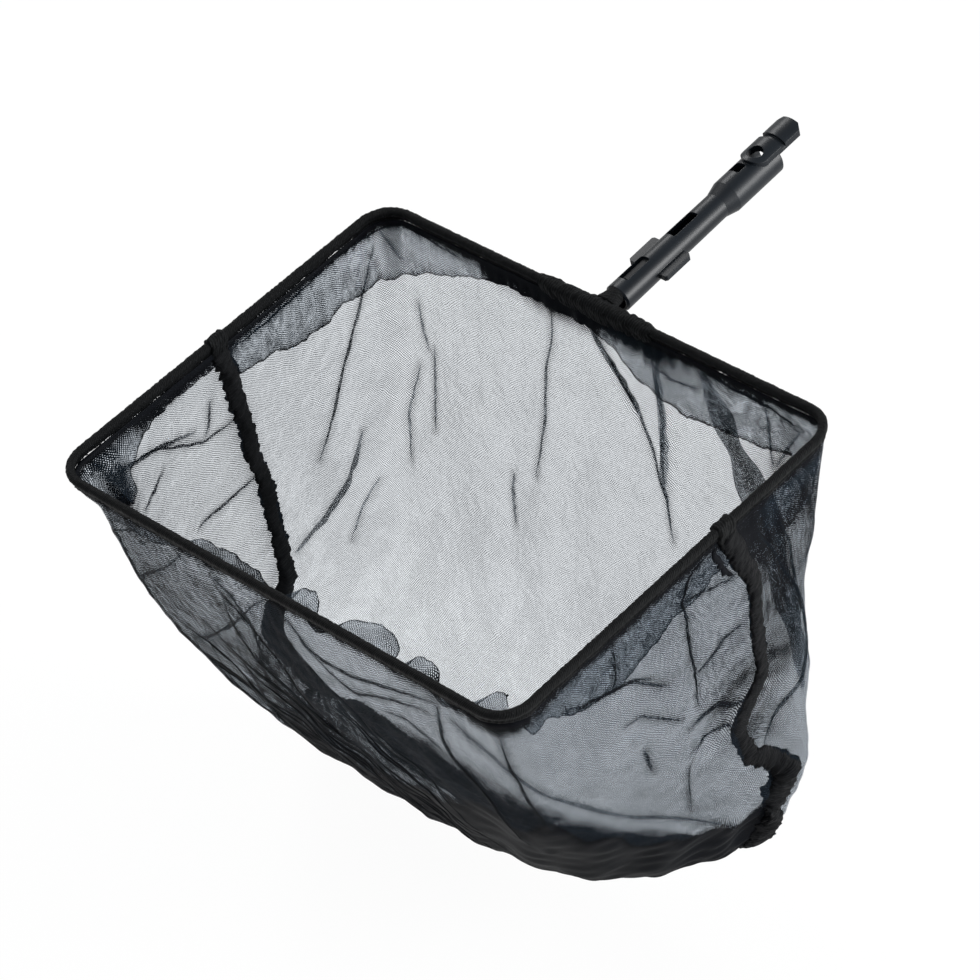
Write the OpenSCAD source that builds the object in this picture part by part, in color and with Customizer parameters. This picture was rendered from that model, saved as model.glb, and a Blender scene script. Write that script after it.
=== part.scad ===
// Rectangular aquarium fish net: a coated wire loop, a bag of two mesh panels sewn over it,
// and a moulded connector that takes the end of a pole.
// Millimetres. +X runs along the loop's long side, +Y along the handle, +Z up out of the bag's
// mouth. The origin is the centre of the pole socket's mouth.

/* [Wire loop] */
// Length of the loop's long sides, between wire centres
loop_w = 250; // [200:1:320]
// Length of the loop's short sides, between wire centres
loop_d = 195; // [160:1:240]
// Bend radius of the loop's corners, at the wire's centre
corner_r = 14; // [9:0.5:25]
// Diameter of the bare steel wire
wire_d = 2; // [1.5:0.1:2.4]
// Thickness of the plastic coating on the wire
coat_t = 0.2; // [0.1:0.05:0.35]
// Gap between the two coated stems
stem_gap = 1.6; // [0.6:0.1:2]
// Bend radius where each stem leaves the loop, at the wire's centre
stem_bend_r = 4; // [3:0.25:6]
// Length of each stem past its bend
stem_len = 46; // [30:1:52]

/* [Hem] */
// Thickness of the mesh folded round the wire
hem_t = 0.35; // [0.25:0.05:0.6]
// Depth of the hem below the wire's centre
hem_drop = 4.5; // [3.5:0.1:7]
// Thickness of the stitched fold under the wire
fold_t = 0.9; // [0.6:0.1:1.4]
// Diameter of the sewing thread
thread_d = 0.4; // [0.3:0.05:0.6]
// Depth of the stitched row below the wire's centre
thread_drop = 3.3; // [2.4:0.1:4]
// Gap between the two hems where they meet at each seam
hem_gap = 0.4; // [0.2:0.1:1]
// Thickness of the mesh bound over the hem at the seams and at the handle
wrap_t = 0.8; // [0.5:0.1:1.2]
// Depth of the bound mesh below the wire's centre
wrap_drop = 4.2; // [3:0.1:4.4]
// Width of the binding over the hem at each side seam
seam_wrap_w = 9; // [6:0.5:14]
// Length of the back wrap to the left of the handle
bar_wrap_left = 34; // [15:1:60]
// Length of the back wrap to the right of the handle
bar_wrap_right = 28; // [15:1:60]

/* [Bag] */
// Depth of the bag below the wire's centre, at the middle of its bottom seam
bag_depth = 210; // [150:1:300]
// Depth of the bag at its left bottom corner
left_depth = 223; // [140:1:290]
// Depth of the bag at its right bottom corner
right_depth = 173; // [110:1:240]
// Thickness of the mesh panels
mesh_t = 0.8; // [0.5:0.1:1.2]
// Width of the bag's belly along X
belly_w = 284; // [220:1:320]
// Width of the bag's belly along Y
belly_d = 132; // [130:1:190]
// Corner radius of the belly's section
belly_r = 63.5; // [30:0.5:64.5]
// Shift of the belly to the right of the loop's middle
belly_x = -1.4; // [-20:0.1:25]
// Shift of the belly along Y from the loop's middle
belly_y = -10.5; // [-20:0.5:20]
// Place along Y of the left seam's top
left_seam_y = -5; // [-35:1:35]
// Place along Y of the right seam's top
right_seam_y = 28; // [-35:1:45]
// Place along X of the bag's left bottom corner
left_corner_x = -118.5; // [-130:0.5:-90]
// Place along X of the bag's right bottom corner
right_corner_x = 129; // [90:1:150]
// Place along Y of the bag's left bottom corner
left_corner_y = 5; // [-25:1:25]
// Place along Y of the bottom seam's middle
bottom_mid_y = -11; // [-20:1:20]
// Place along Y of the bag's right bottom corner
right_corner_y = 24.3; // [-25:0.1:30]
// Reach of the back panel's swell beside the right seam
swell_reach = 25.6; // [0:0.1:30]
// Distance of the swell's middle from the right seam, round the mouth
swell_at = 46; // [30:1:80]
// Half-width of the swell round the mouth
swell_w = 28; // [20:1:50]
// Height of the panels' slack folds, to either side of the bag's surface
fold_reach = 2.2; // [0:0.1:4]
// Distance between the slack folds round the bag
fold_pitch = 42; // [30:1:80]
// Distance from a seam at which the slack folds reach their full height
fold_clear = 24; // [15:1:40]
// Width of the overlocked seams
seam_w = 6; // [4:0.5:8]
// Thickness of the overlocked seams
seam_t = 3; // [2:0.1:4]
// Depth of the hem allowance turned down inside the bag
facing_depth = 30; // [15:1:50]
// Thickness of the turned-down hem allowance
facing_t = 0.6; // [0.4:0.1:0.9]
// Clearance between pieces of cloth that lie together
cloth_gap = 0.3; // [0.1:0.05:0.5]
// Clearance between a panel's edge and the seam that binds it
seam_gap = 0.6; // [0.3:0.1:1]

/* [Connector] */
// Length of the neck between the wire's centre and the connector
neck_len = 9.5; // [7:0.5:16]
// Drop of the connector's axis below the wire at its open end
base_drop = 2.5; // [1.5:0.1:2.7]
// Upward tilt of the connector from the loop's plane, in degrees
tilt_angle = 3; // [2:0.5:6]
// Length of the connector from its open end to the mouth of the pole socket
body_len = 100; // [92:1:125]
// Outer diameter of the tube at its open end
tube_d = 12.8; // [12.4:0.1:14]
// Outer diameter of the tube at the flare
waist_d = 12; // [11.4:0.1:12.6]
// Outer diameter round the pole socket
socket_outer_d = 15.3; // [15:0.1:18]
// Bore that takes the two stems
stem_bore_d = 9.6; // [9.4:0.1:9.9]
// Depth of the bore that takes the two stems
stem_bore_len = 56; // [52:1:60]
// Bore that takes the pole
socket_d = 12.1; // [11:0.1:12.6]
// Depth of the pole socket
socket_len = 31; // [26:0.5:33]
// Length of the flare between the two diameters
flare_len = 6.5; // [4:0.5:8]
// Length of the wide barrel round the pole socket
barrel_len = 29; // [26:0.5:30]
// Chamfer at the barrel's mouth and the tube's open end
rim_chamfer = 0.8; // [0.3:0.1:1]
// Start of the first window from the open end
window_1_at = 6.3; // [5:0.1:8]
// Length of the first window
window_1_len = 14.7; // [8:0.1:15.5]
// Start of the second window from the open end
window_2_at = 36.7; // [36.6:0.1:38]
// Length of the second window
window_2_len = 15.3; // [8:0.1:16]
// Start of the third window from the open end
window_3_at = 79; // [77:0.1:80]
// Length of the third window
window_3_len = 5.5; // [3:0.1:6]
// Width of the windows across the tube
window_w = 6.2; // [4:0.1:7]
// Corner radius of the windows
window_r = 0.8; // [0.3:0.1:1.4]
// Turn of the windows from the top towards the left, in degrees
window_turn_angle = 17; // [0:1:25]
// Start of the side wings from the open end
wing_at = 19.5; // [16:0.5:20]
// Length of the side wings
wing_len = 16; // [10:0.5:16.5]
// Reach of each wing from the tube's axis
wing_reach = 10.4; // [8:0.1:12]
// Thickness of the wings
wing_t = 2.6; // [1.6:0.1:3.5]
// Chamfer at the wings' corners
wing_chamfer = 0.9; // [0.3:0.1:1.5]

/* [Tongue] */
// Diameter of the button hole
button_d = 7.3; // [5:0.1:8]
// Distance of the button hole from the socket's mouth
button_back = 8.3; // [7.5:0.1:9]
// Diameter of the round pad about the button hole
pad_d = 12.6; // [11.5:0.1:13]
// Thickness of the tongue
tongue_t = 2; // [1.4:0.1:2.6]
// Depth to which the tongue is sunk in the barrel
tongue_sink = 0.3; // [0.1:0.1:0.5]
// Width of the tongue
tongue_w = 12.4; // [9:0.1:14]
// Reach of the tongue past the socket's mouth
tongue_reach = 15.5; // [10:0.5:24]
// Start of the groove across the tongue from the socket's mouth
groove_at = 1.2; // [0.6:0.1:3]
// Width of the groove across the tongue
groove_w = 2.6; // [1:0.1:4]
// Depth of the groove across the tongue
groove_depth = 1.2; // [0.6:0.1:1.3]
// Chamfer at the tongue's free corners
tongue_chamfer = 2.2; // [0.5:0.1:3]

/* [Stem plug] */
// Length of the plug that grips the stems
plug_len = 28; // [14:1:32]
// Start of the plug from the connector's open end
plug_at = 8; // [4:0.5:12]
// Clearance between the plug and the bore
plug_gap = 0.05; // [0.02:0.01:0.15]
// Clearance between each stem and what it passes through
stem_clearance = 0.05; // [0.02:0.01:0.15]

/* [Hidden] */
$fn = 64;
// Overrun by which every cut passes the faces it leaves
over = 1;
// How the bag narrows with depth, as powers of the cosine and sine of its quarter turn
wall_shape_share = 1.03;
floor_shape_share = 0.885;
// How the bottom seam bends towards its corners, as a power of the distance from its middle
sweep_shape_share = 1.57;
// Share of the way down at which the section is the belly's, and how soon it starts, as a power
belly_share = 0.79;
belly_start_share = 0.52;
// Steps of the bag's surface in a side run, a corner, a long run, and from mouth to seam
side_steps = 8;
corner_steps = 4;
long_steps = 24;
row_steps = 26;
facing_steps = 4;
seam_steps = 32;
seam_sides = 10;
// How a panel's rows crowd towards the mouth, as a power
row_share = 1.3;
// Shares of the way down over which the slack folds rise below the mouth and fall above the bottom seam
fold_start_share = 0.1;
fold_end_share = 0.12;
// Turns by which the narrow and the wide slack folds lean, and how much closer the narrow ones stand
narrow_turn_share = 1.8;
wide_turn_share = 4.5;
wide_pitch_share = 0.45;
// Step of the finite differences that give the bag's normals, as a share
probe_share = 0.002;

wire_r = wire_d / 2;
coat_r = wire_r + coat_t;
hem_r = coat_r + hem_t;
wrap_r = hem_r + wrap_t;
stem_x = coat_r + stem_gap / 2;
bend_x = stem_x + stem_bend_r;
base_y = loop_d / 2 + neck_len;
mouth_y = base_y + body_len * cos(tilt_angle);
mouth_z = body_len * sin(tilt_angle) - base_drop;
tube_r = tube_d / 2;
waist_r = waist_d / 2;
barrel_r = socket_outer_d / 2;
tongue_in_r = barrel_r - tongue_sink;
tongue_out_r = tongue_in_r + tongue_t;
neck_w = 2 * (stem_x + coat_r) + 2 * wrap_t;
neck_h = 2 * coat_r + 2 * wrap_t;

// Everything is laid out from the loop's middle, then moved so that the socket's mouth is at the origin
module placed() {
    translate([0, -mouth_y, -mouth_z]) children();
}

// Stands children on the connector's axis: their +Z runs along it from the open end, their +Y up
module on_handle() {
    translate([0, base_y, -base_drop]) rotate([tilt_angle - 90, 0, 0]) rotate([0, 0, 180]) children();
}

// A flat profile, its own +Y up, carried along Y at one X
module run_y(x, y0, y1) {
    translate([x, y1, 0]) rotate([90, 0, 0]) linear_extrude(y1 - y0) children();
}

// A flat profile, its own +Y up, carried along X at one Y
module run_x(y, x0, x1) {
    translate([x0, y, 0]) rotate([90, 0, 90]) linear_extrude(x1 - x0) children();
}

// A flat profile carried through a quarter turn from the direction given in degrees
module quarter(x, y, r, from) {
    translate([x, y, 0]) rotate([0, 0, from]) rotate_extrude(angle = 90) translate([r, 0]) children();
}

// Half of the loop, on the front (way -1) or the back (way 1) of the two seams
module half_loop(way) {
    sx = loop_w / 2 - corner_r;
    sy = loop_d / 2 - corner_r;
    for (side = [-1, 1]) {
        seam_y = (side < 0 ? left_seam_y : right_seam_y) + way * hem_gap / 2;
        run_y(side * loop_w / 2, min(way * sy, seam_y), max(way * sy, seam_y)) children();
        from = way < 0 ? (side < 0 ? 180 : 270) : (side < 0 ? 90 : 0);
        quarter(side * sx, way * sy, corner_r, from) children();
    }
    run_x(way * loop_d / 2, -sx, sx) children();
}

// The whole run of the wire: the loop, open at the middle of its back, and its two stems
module wire_run(r) {
    sx = loop_w / 2 - corner_r;
    sy = loop_d / 2 - corner_r;
    for (side = [-1, 1]) {
        run_y(side * loop_w / 2, -sy, sy) circle(r);
        quarter(side * sx, -sy, corner_r, side < 0 ? 180 : 270) circle(r);
        quarter(side * sx, sy, corner_r, side < 0 ? 90 : 0) circle(r);
        run_x(loop_d / 2, side < 0 ? -sx : bend_x, side < 0 ? -bend_x : sx) circle(r);
        quarter(side * bend_x, loop_d / 2 + stem_bend_r, stem_bend_r, side < 0 ? 270 : 180) circle(r);
        run_y(side * stem_x, loop_d / 2 + stem_bend_r, loop_d / 2 + stem_bend_r + stem_len) circle(r);
    }
    run_x(-loop_d / 2, -sx, sx) circle(r);
}

// Outline of the hem: a tube round the wire with a stitched fold under it
module hem_outline(r, fold) {
    circle(r);
    translate([-fold / 2, -hem_drop]) square([fold, hem_drop]);
}

// Saddle of bound mesh over the hem, open below for the fold
module saddle(r, drop) {
    difference() {
        union() {
            circle(r);
            translate([-r, -drop]) square([2 * r, drop]);
        }
        circle(hem_r + cloth_gap);
        slot = fold_t + 2 * (thread_d + cloth_gap);
        translate([-slot / 2, -drop - over]) square([slot, drop + over]);
    }
}

// The bag's surface. A place on it has a share round the mouth and a share down to the bottom seam.
// Round the mouth the share starts at the middle of the left side and goes by the front.
function loop_quarter(s, w, d, r) =
    let (run = d / 2 - r, bend = PI * r / 2, a = (s - run) / r * 180 / PI)
    s < run ? [w / 2, s] :
    s < run + bend ? [w / 2 - r + r * cos(a), d / 2 - r + r * sin(a)] :
    [w / 2 - r - (s - run - bend), d / 2];

function quarter_len(w, d, r) = w / 2 + d / 2 - 2 * r + PI * r / 2;

function loop_point(share, w, d, r) =
    let (m = quarter_len(w, d, r), s = (share - floor(share)) * 4 * m)
    let (p = loop_quarter(s < m ? s : s < 2 * m ? 2 * m - s : s < 3 * m ? s - 2 * m : 4 * m - s, w, d, r))
    [s < m || s > 3 * m ? -p.x : p.x, s < 2 * m ? -p.y : p.y];

loop_len = 4 * quarter_len(loop_w, loop_d, corner_r);
left_share = -left_seam_y / loop_len;
right_share = 0.5 + right_seam_y / loop_len;

function smooth(x) = let (c = min(max(x, 0), 1)) c * c * (3 - 2 * c);

// Share along the bottom seam, from its left corner, that a place on either panel hangs over
function bottom_share(t) =
    t <= right_share ? (t - left_share) / (right_share - left_share) :
    (1 + left_share - t) / (1 + left_share - right_share);

// The place on the other panel that hangs over the same place of the bottom seam
function across(t) =
    t <= right_share ? 1 + left_share - bottom_share(t) * (1 + left_share - right_share) :
    left_share + bottom_share(t) * (right_share - left_share);

function between(a, m, b, k) =
    let (s = pow(abs(2 * k - 1), sweep_shape_share)) k < 0.5 ? m + (a - m) * s : m + (b - m) * s;

function bottom_point(t) =
    let (k = bottom_share(t))
    [left_corner_x + (right_corner_x - left_corner_x) * k,
     between(left_corner_y, bottom_mid_y, right_corner_y, k),
     between(-left_depth, -bag_depth, -right_depth, k)];

// Section of the bag at a share of the way down: the loop's at the top, the belly's further down
function section_point(t, v) =
    let (c = pow(smooth(v / belly_share), belly_start_share))
    (1 - c) * loop_point(t, loop_w, loop_d, corner_r)
    + c * (loop_point(t, belly_w, belly_d, belly_r) + [belly_x, belly_y]);

// How far the back panel swells out beside the right seam
function swell(t, v) =
    swell_reach * exp(-pow(((t - right_share) * loop_len - swell_at) / swell_w, 2)) * pow(sin(180 * v), 2);

function bag_point(t, v) =
    t < left_share ? bag_point(t + 1, v) :
    t > 1 + left_share ? bag_point(t - 1, v) :
    v > 1 ? bag_point(across(t), 2 - v) :
    let (q = section_point(t, v), b = bottom_point(t))
    let (g = pow(max(cos(90 * v), 0), wall_shape_share), h = pow(max(sin(90 * v), 0), floor_shape_share))
    [b.x + (q.x - b.x) * g + swell(t, v), b.y + (q.y - b.y) * g, -hem_drop + (b.z + hem_drop) * h];

// Height of the slack folds: two sets that lean opposite ways, flat at the mouth, the seams and the bottom
function folds(t, v) =
    let (ends = t <= right_share ? [left_share, right_share] : [right_share, 1 + left_share])
    let (off_seam = min(t - ends[0], ends[1] - t) * loop_len, turn = 360 * t * loop_len / fold_pitch)
    let (rise = smooth(v / fold_start_share - 1) * smooth((1 - v) / fold_end_share) * smooth(off_seam / fold_clear))
    fold_reach * rise * (sin(turn + 360 * narrow_turn_share * v)
        + sin(wide_pitch_share * turn - 360 * wide_turn_share * v)) / 2;

function unit(p) = p / norm(p);

// Directions on the bag's surface: round it, down it, and out of it
function round_it(t, v) = unit(bag_point(t + probe_share, v) - bag_point(t - probe_share, v));
function down_it(t, v) = let (a = max(v - probe_share, 0)) unit(bag_point(t, a + 2 * probe_share) - bag_point(t, a));
function out_of_it(t, v) = unit(cross(down_it(t, v), round_it(t, v)));

// Share of the way down at which a place is a given depth below the wire
function depth_share(t, depth) =
    asin(pow((depth - hem_drop) / (-bottom_point(t).z - hem_drop), 1 / floor_shape_share)) / 90;

// Share of the way down at which a place is a given distance short of the bottom seam
function stop_share(t, gap) =
    let (q = section_point(t, 1), b = bottom_point(t), reach = norm([q.x - b.x, q.y - b.y]))
    max(acos(pow(min(gap / reach, 1), 1 / wall_shape_share)) / 90, depth_share(t, -b.z - gap));

function steps(a, b, n) = [for (i = [1:n]) a + (b - a) * i / n];

// Places round the mouth at which a panel's columns stand, close together at the corners
function columns(t0, c) = concat([t0], steps(t0, c[0], side_steps), steps(c[0], c[1], corner_steps),
    steps(c[1], c[2], long_steps), steps(c[2], c[3], corner_steps), steps(c[3], c[4], side_steps));

side_run = loop_d / 2 - corner_r;
bend_run = PI * corner_r / 2;
long_run = loop_w - 2 * corner_r;
edge_share = (seam_w / 2 + seam_gap) / loop_len;
corner_shares = [side_run, side_run + bend_run, side_run + bend_run + long_run,
    side_run + 2 * bend_run + long_run] / loop_len;
front_columns = columns(left_share + edge_share, concat(corner_shares, [right_share - edge_share]));
back_columns = columns(right_share + edge_share, concat([for (i = [3:-1:0]) 1 - corner_shares[i]],
    [1 + left_share - edge_share]));

// A panel's place moved off the seams, which keep their width while the panel narrows on the way down
bottom_narrow_share = (right_corner_x - left_corner_x) / (loop_len / 2);

function kept_off(t, v) =
    let (front = t <= right_share, ends = front ? [left_share, right_share] : [right_share, 1 + left_share])
    let (mid = (ends[0] + ends[1]) / 2, half = (ends[1] - ends[0]) / 2)
    mid + (t - mid) * (half - edge_share / (1 + (bottom_narrow_share - 1) * v)) / (half - edge_share);

// A closed sheet between two grids of points, the first one on the outside
module sheet(outer, inner) {
    m = len(outer);
    n = len(outer[0]);
    half = m * n;
    points = concat([for (r = outer) each r], [for (r = inner) each r]);
    quads = concat(
        [for (i = [0:m - 2], j = [0:n - 2]) [i * n + j, (i + 1) * n + j, (i + 1) * n + j + 1, i * n + j + 1]],
        [for (i = [0:m - 2], j = [0:n - 2])
            [half + i * n + j, half + i * n + j + 1, half + (i + 1) * n + j + 1, half + (i + 1) * n + j]],
        [for (i = [0:m - 2]) [i * n, half + i * n, half + (i + 1) * n, (i + 1) * n]],
        [for (i = [0:m - 2])
            [(i + 1) * n + n - 1, half + (i + 1) * n + n - 1, half + i * n + n - 1, i * n + n - 1]],
        [for (j = [0:n - 2]) [j + 1, half + j + 1, half + j, j]],
        [for (j = [0:n - 2])
            [(m - 1) * n + j, half + (m - 1) * n + j, half + (m - 1) * n + j + 1, (m - 1) * n + j + 1]]);
    polyhedron(points, [for (q = quads) each [[q[0], q[1], q[2]], [q[0], q[2], q[3]]]]);
}

// Cloth between two distances out of the bag's folded surface, over the columns given, down to a share that
// ends(kind, t) gives
function ends(kind, t) = kind == "panel" ? stop_share(t, seam_w / 2 + seam_gap) : depth_share(t, facing_depth);

module cloth(places, rows, kind, low, high) {
    function grid(out) = [for (t = places) [for (i = [0:rows])
        let (v = ends(kind, t) * pow(i / rows, row_share), u = kept_off(t, v))
            bag_point(u, v) + (out + folds(u, v)) * out_of_it(u, v)]];
    sheet(grid(high), grid(low));
}

// An oval tube through a row of [centre, sideways, outwards] stations
module oval_tube(stations, w, t) {
    n = seam_sides;
    m = len(stations);
    points = [for (s = stations, i = [0:n - 1])
        s[0] + w / 2 * cos(360 * i / n) * s[1] + t / 2 * sin(360 * i / n) * s[2]];
    walls = [for (k = [0:m - 2], i = [0:n - 1])
        let (a = k * n + i, b = k * n + (i + 1) % n) each [[a, b, b + n], [a, b + n, a + n]]];
    polyhedron(points, concat(walls, [[for (i = [n - 1:-1:0]) i]], [[for (i = [0:n - 1]) (m - 1) * n + i]]));
}

// A side seam, from under the hem down to just above the bottom seam
module side_seam(t) {
    last = stop_share(t, seam_t / 2 + cloth_gap);
    oval_tube([for (i = [0:seam_steps]) let (v = last * i / seam_steps)
        [bag_point(t, v), -round_it(t, v), out_of_it(t, v)]], seam_w, seam_t);
}

// The bottom seam, along the bag's lowest line
module bottom_line() {
    first = left_share + probe_share;
    run = right_share - left_share - 2 * probe_share;
    oval_tube([for (i = [0:seam_steps])
        let (t = first + run * i / seam_steps)
        let (along = unit(bottom_point(t + probe_share) - bottom_point(t - probe_share)))
        let (sideways = unit([along.y, -along.x, 0]))
        [bottom_point(t), sideways, cross(sideways, along)]], seam_w, seam_t);
}

module frame_wire() {
    color("silver") placed() wire_run(wire_r);
}

module wire_coating() {
    color("black") placed() difference() {
        wire_run(coat_r);
        wire_run(wire_r);
    }
}

// Outline of the connector's body from its axis outwards: open end, taper, flare, barrel
module body_outline() {
    barrel_at = body_len - barrel_len;
    polygon([[0, 0], [tube_r - rim_chamfer, 0], [tube_r, rim_chamfer], [waist_r, barrel_at - flare_len],
        [barrel_r, barrel_at], [barrel_r, body_len - rim_chamfer], [barrel_r - rim_chamfer, body_len],
        [0, body_len]]);
}

// A window through the upper wall, turned towards the left
module window(at, length) {
    side = window_w / 2 - window_r;
    rotate([0, 0, -window_turn_angle]) rotate([-90, 0, 0]) linear_extrude(barrel_r + over) mirror([0, 1]) {
        translate([-window_w / 2, at + window_r]) square([window_w, length - 2 * window_r]);
        translate([-side, at]) square([2 * side, length]);
        for (x = [-side, side], y = [at + window_r, at + length - window_r])
            translate([x, y]) circle(window_r);
    }
}

module wings() {
    c = wing_chamfer;
    translate([0, wing_t / 2, wing_at]) rotate([90, 0, 0]) linear_extrude(wing_t) polygon([
        [-wing_reach, c], [c - wing_reach, 0], [wing_reach - c, 0], [wing_reach, c],
        [wing_reach, wing_len - c], [wing_reach - c, wing_len], [c - wing_reach, wing_len],
        [-wing_reach, wing_len - c]]);
}

// The tongue: a band of the barrel's crown with a round pad at its root, carried past the mouth
module tongue() {
    start = body_len - button_back;
    end = body_len + tongue_reach;
    c = tongue_chamfer;
    intersection() {
        difference() {
            translate([0, 0, start - pad_d / 2]) cylinder(h = end - start + pad_d / 2, r = tongue_out_r);
            translate([0, 0, start - pad_d / 2 - over])
                cylinder(h = end - start + pad_d / 2 + 2 * over, r = tongue_in_r);
            difference() {
                translate([0, 0, body_len + groove_at]) cylinder(h = groove_w, r = tongue_out_r + over);
                translate([0, 0, body_len + groove_at - over])
                    cylinder(h = groove_w + 2 * over, r = tongue_out_r - groove_depth);
            }
        }
        rotate([-90, 0, 0]) linear_extrude(tongue_out_r + over) mirror([0, 1]) union() {
            translate([0, start]) circle(pad_d / 2);
            polygon([[-tongue_w / 2, start], [tongue_w / 2, start], [tongue_w / 2, end - c],
                [tongue_w / 2 - c, end], [c - tongue_w / 2, end], [-tongue_w / 2, end - c]]);
        }
    }
}

module connector() {
    color([0.16, 0.18, 0.20]) placed() on_handle() difference() {
        union() {
            rotate_extrude() body_outline();
            wings();
            tongue();
        }
        translate([0, 0, -over]) cylinder(h = stem_bore_len + over, d = stem_bore_d);
        translate([0, 0, body_len - socket_len]) cylinder(h = socket_len + over, d = socket_d);
        window(window_1_at, window_1_len);
        window(window_2_at, window_2_len);
        window(window_3_at, window_3_len);
        translate([0, 0, body_len - button_back]) rotate([-90, 0, 0])
            cylinder(h = tongue_out_r + over, d = button_d);
    }
}

module stem_plug() {
    color([0.09, 0.09, 0.10]) placed() difference() {
        on_handle() translate([0, 0, plug_at]) cylinder(h = plug_len, r = stem_bore_d / 2 - plug_gap);
        for (side = [-1, 1])
            run_y(side * stem_x, base_y - over, base_y + plug_at + plug_len + over) circle(coat_r + stem_clearance);
    }
}

module front_hem() {
    color([0.05, 0.05, 0.05]) placed() difference() {
        half_loop(-1) hem_outline(hem_r, fold_t);
        wire_run(coat_r);
    }
}

module back_hem() {
    gap_x = bend_x + cloth_gap;
    color([0.05, 0.05, 0.05]) placed() difference() {
        half_loop(1) hem_outline(hem_r, fold_t);
        wire_run(coat_r);
        translate([-gap_x, loop_d / 2 - hem_r - over, -hem_r]) cube([2 * gap_x, 2 * (hem_r + over), 2 * hem_r + over]);
    }
}

module hem_thread(way) {
    color([0.02, 0.02, 0.02]) placed() for (face = [-1, 1])
        half_loop(way) translate([face * (fold_t + thread_d) / 2, -thread_drop]) circle(thread_d / 2);
}

module back_bar_wrap() {
    window_x = neck_w / 2 + stem_bend_r;
    window_top = coat_r + cloth_gap;
    color([0.03, 0.03, 0.03]) placed() difference() {
        run_x(loop_d / 2, -bar_wrap_left, bar_wrap_right) saddle(wrap_r + cloth_gap, wrap_drop);
        translate([-window_x, loop_d / 2, -coat_r - cloth_gap]) cube([2 * window_x, wrap_r + over, 2 * window_top]);
    }
}

module neck_wrap() {
    start = loop_d / 2 + wrap_r + 2 * cloth_gap;
    end = base_y - cloth_gap - (tube_r + base_drop) * sin(tilt_angle);
    color([0.03, 0.03, 0.03]) placed() difference() {
        run_y(0, start, end) {
            translate([(neck_h - neck_w) / 2, -neck_h / 2]) square([neck_w - neck_h, neck_h]);
            for (side = [-1, 1]) translate([side * (neck_w - neck_h) / 2, 0]) circle(neck_h / 2);
        }
        wire_run(coat_r + stem_clearance);
    }
}

module seam_wrap(side, y) {
    color([0.03, 0.03, 0.03]) placed()
        run_y(side * loop_w / 2, y - seam_wrap_w / 2, y + seam_wrap_w / 2) saddle(wrap_r + cloth_gap, wrap_drop);
}

module facing(places) {
    color([0.14, 0.15, 0.15]) placed() cloth(places, facing_steps, "facing",
        -mesh_t / 2 - cloth_gap - facing_t, -mesh_t / 2 - cloth_gap);
}

module panel(places) {
    color([0.20, 0.22, 0.22]) placed() cloth(places, row_steps, "panel", -mesh_t / 2, mesh_t / 2);
}

module front_hem_thread() {
    hem_thread(-1);
}

module back_hem_thread() {
    hem_thread(1);
}

module left_seam_wrap() {
    seam_wrap(-1, left_seam_y);
}

module right_seam_wrap() {
    seam_wrap(1, right_seam_y);
}

module front_facing() {
    facing(front_columns);
}

module back_facing() {
    facing(back_columns);
}

module front_panel() {
    panel(front_columns);
}

module back_panel() {
    panel(back_columns);
}

module left_seam() {
    color([0.03, 0.03, 0.03]) placed() side_seam(left_share);
}

module right_seam() {
    color([0.03, 0.03, 0.03]) placed() side_seam(right_share);
}

module bottom_seam() {
    color([0.03, 0.03, 0.03]) placed() bottom_line();
}

frame_wire();
wire_coating();
connector();
stem_plug();
front_hem();
back_hem();
front_hem_thread();
back_hem_thread();
back_bar_wrap();
neck_wrap();
left_seam_wrap();
right_seam_wrap();
front_facing();
back_facing();
front_panel();
back_panel();
left_seam();
right_seam();
bottom_seam();
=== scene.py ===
"""Aquarium fish net: a bag of knitted mesh sewn over a coated wire loop, with a moulded pole connector.

The file is laid out as a Blender add-on and is run as a script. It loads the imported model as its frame,
gives the rigid parts their finishes, and makes the soft goods from formulas: hems, stitches, bound mesh,
hem allowance, the two panels with their pleats, the overlocked seams and the gathered bottom.
Lengths are in metres. X runs along the loop's long sides, Y from the loop to the pole, Z up out of the bag.
"""

import math

import bpy
import numpy as np
from mathutils import Matrix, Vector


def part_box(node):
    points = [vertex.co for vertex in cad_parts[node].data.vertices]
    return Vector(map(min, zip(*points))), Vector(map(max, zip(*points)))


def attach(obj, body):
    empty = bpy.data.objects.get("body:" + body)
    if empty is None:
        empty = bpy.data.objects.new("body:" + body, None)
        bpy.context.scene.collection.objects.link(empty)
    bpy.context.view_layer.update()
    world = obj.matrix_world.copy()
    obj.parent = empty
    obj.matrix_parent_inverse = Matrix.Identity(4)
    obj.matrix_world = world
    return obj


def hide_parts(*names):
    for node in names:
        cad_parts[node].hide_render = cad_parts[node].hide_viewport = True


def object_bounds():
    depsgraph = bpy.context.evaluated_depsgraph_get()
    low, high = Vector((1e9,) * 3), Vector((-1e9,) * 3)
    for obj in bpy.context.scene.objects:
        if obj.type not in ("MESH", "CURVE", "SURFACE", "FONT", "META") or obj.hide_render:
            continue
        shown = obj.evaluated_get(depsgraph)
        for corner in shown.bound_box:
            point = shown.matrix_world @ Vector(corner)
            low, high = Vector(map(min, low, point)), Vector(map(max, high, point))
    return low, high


bl_info = {
    "name": "Aquarium fish net",
    "version": (1, 0, 0),
    "blender": (4, 5, 0),
    "location": "3D View > Sidebar > Fish net",
    "description": "Makes the soft goods, finishes and stage of a rectangular fish net",
    "category": "Add Mesh",
}

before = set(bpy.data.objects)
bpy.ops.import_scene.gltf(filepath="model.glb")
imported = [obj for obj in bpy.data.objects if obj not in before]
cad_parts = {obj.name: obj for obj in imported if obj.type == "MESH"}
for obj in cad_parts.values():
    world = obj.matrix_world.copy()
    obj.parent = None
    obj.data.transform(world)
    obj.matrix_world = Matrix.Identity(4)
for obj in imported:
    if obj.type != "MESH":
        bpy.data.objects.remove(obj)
cad_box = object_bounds()

MM = 0.001
UP = np.array([0, 0, 1.0])


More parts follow.
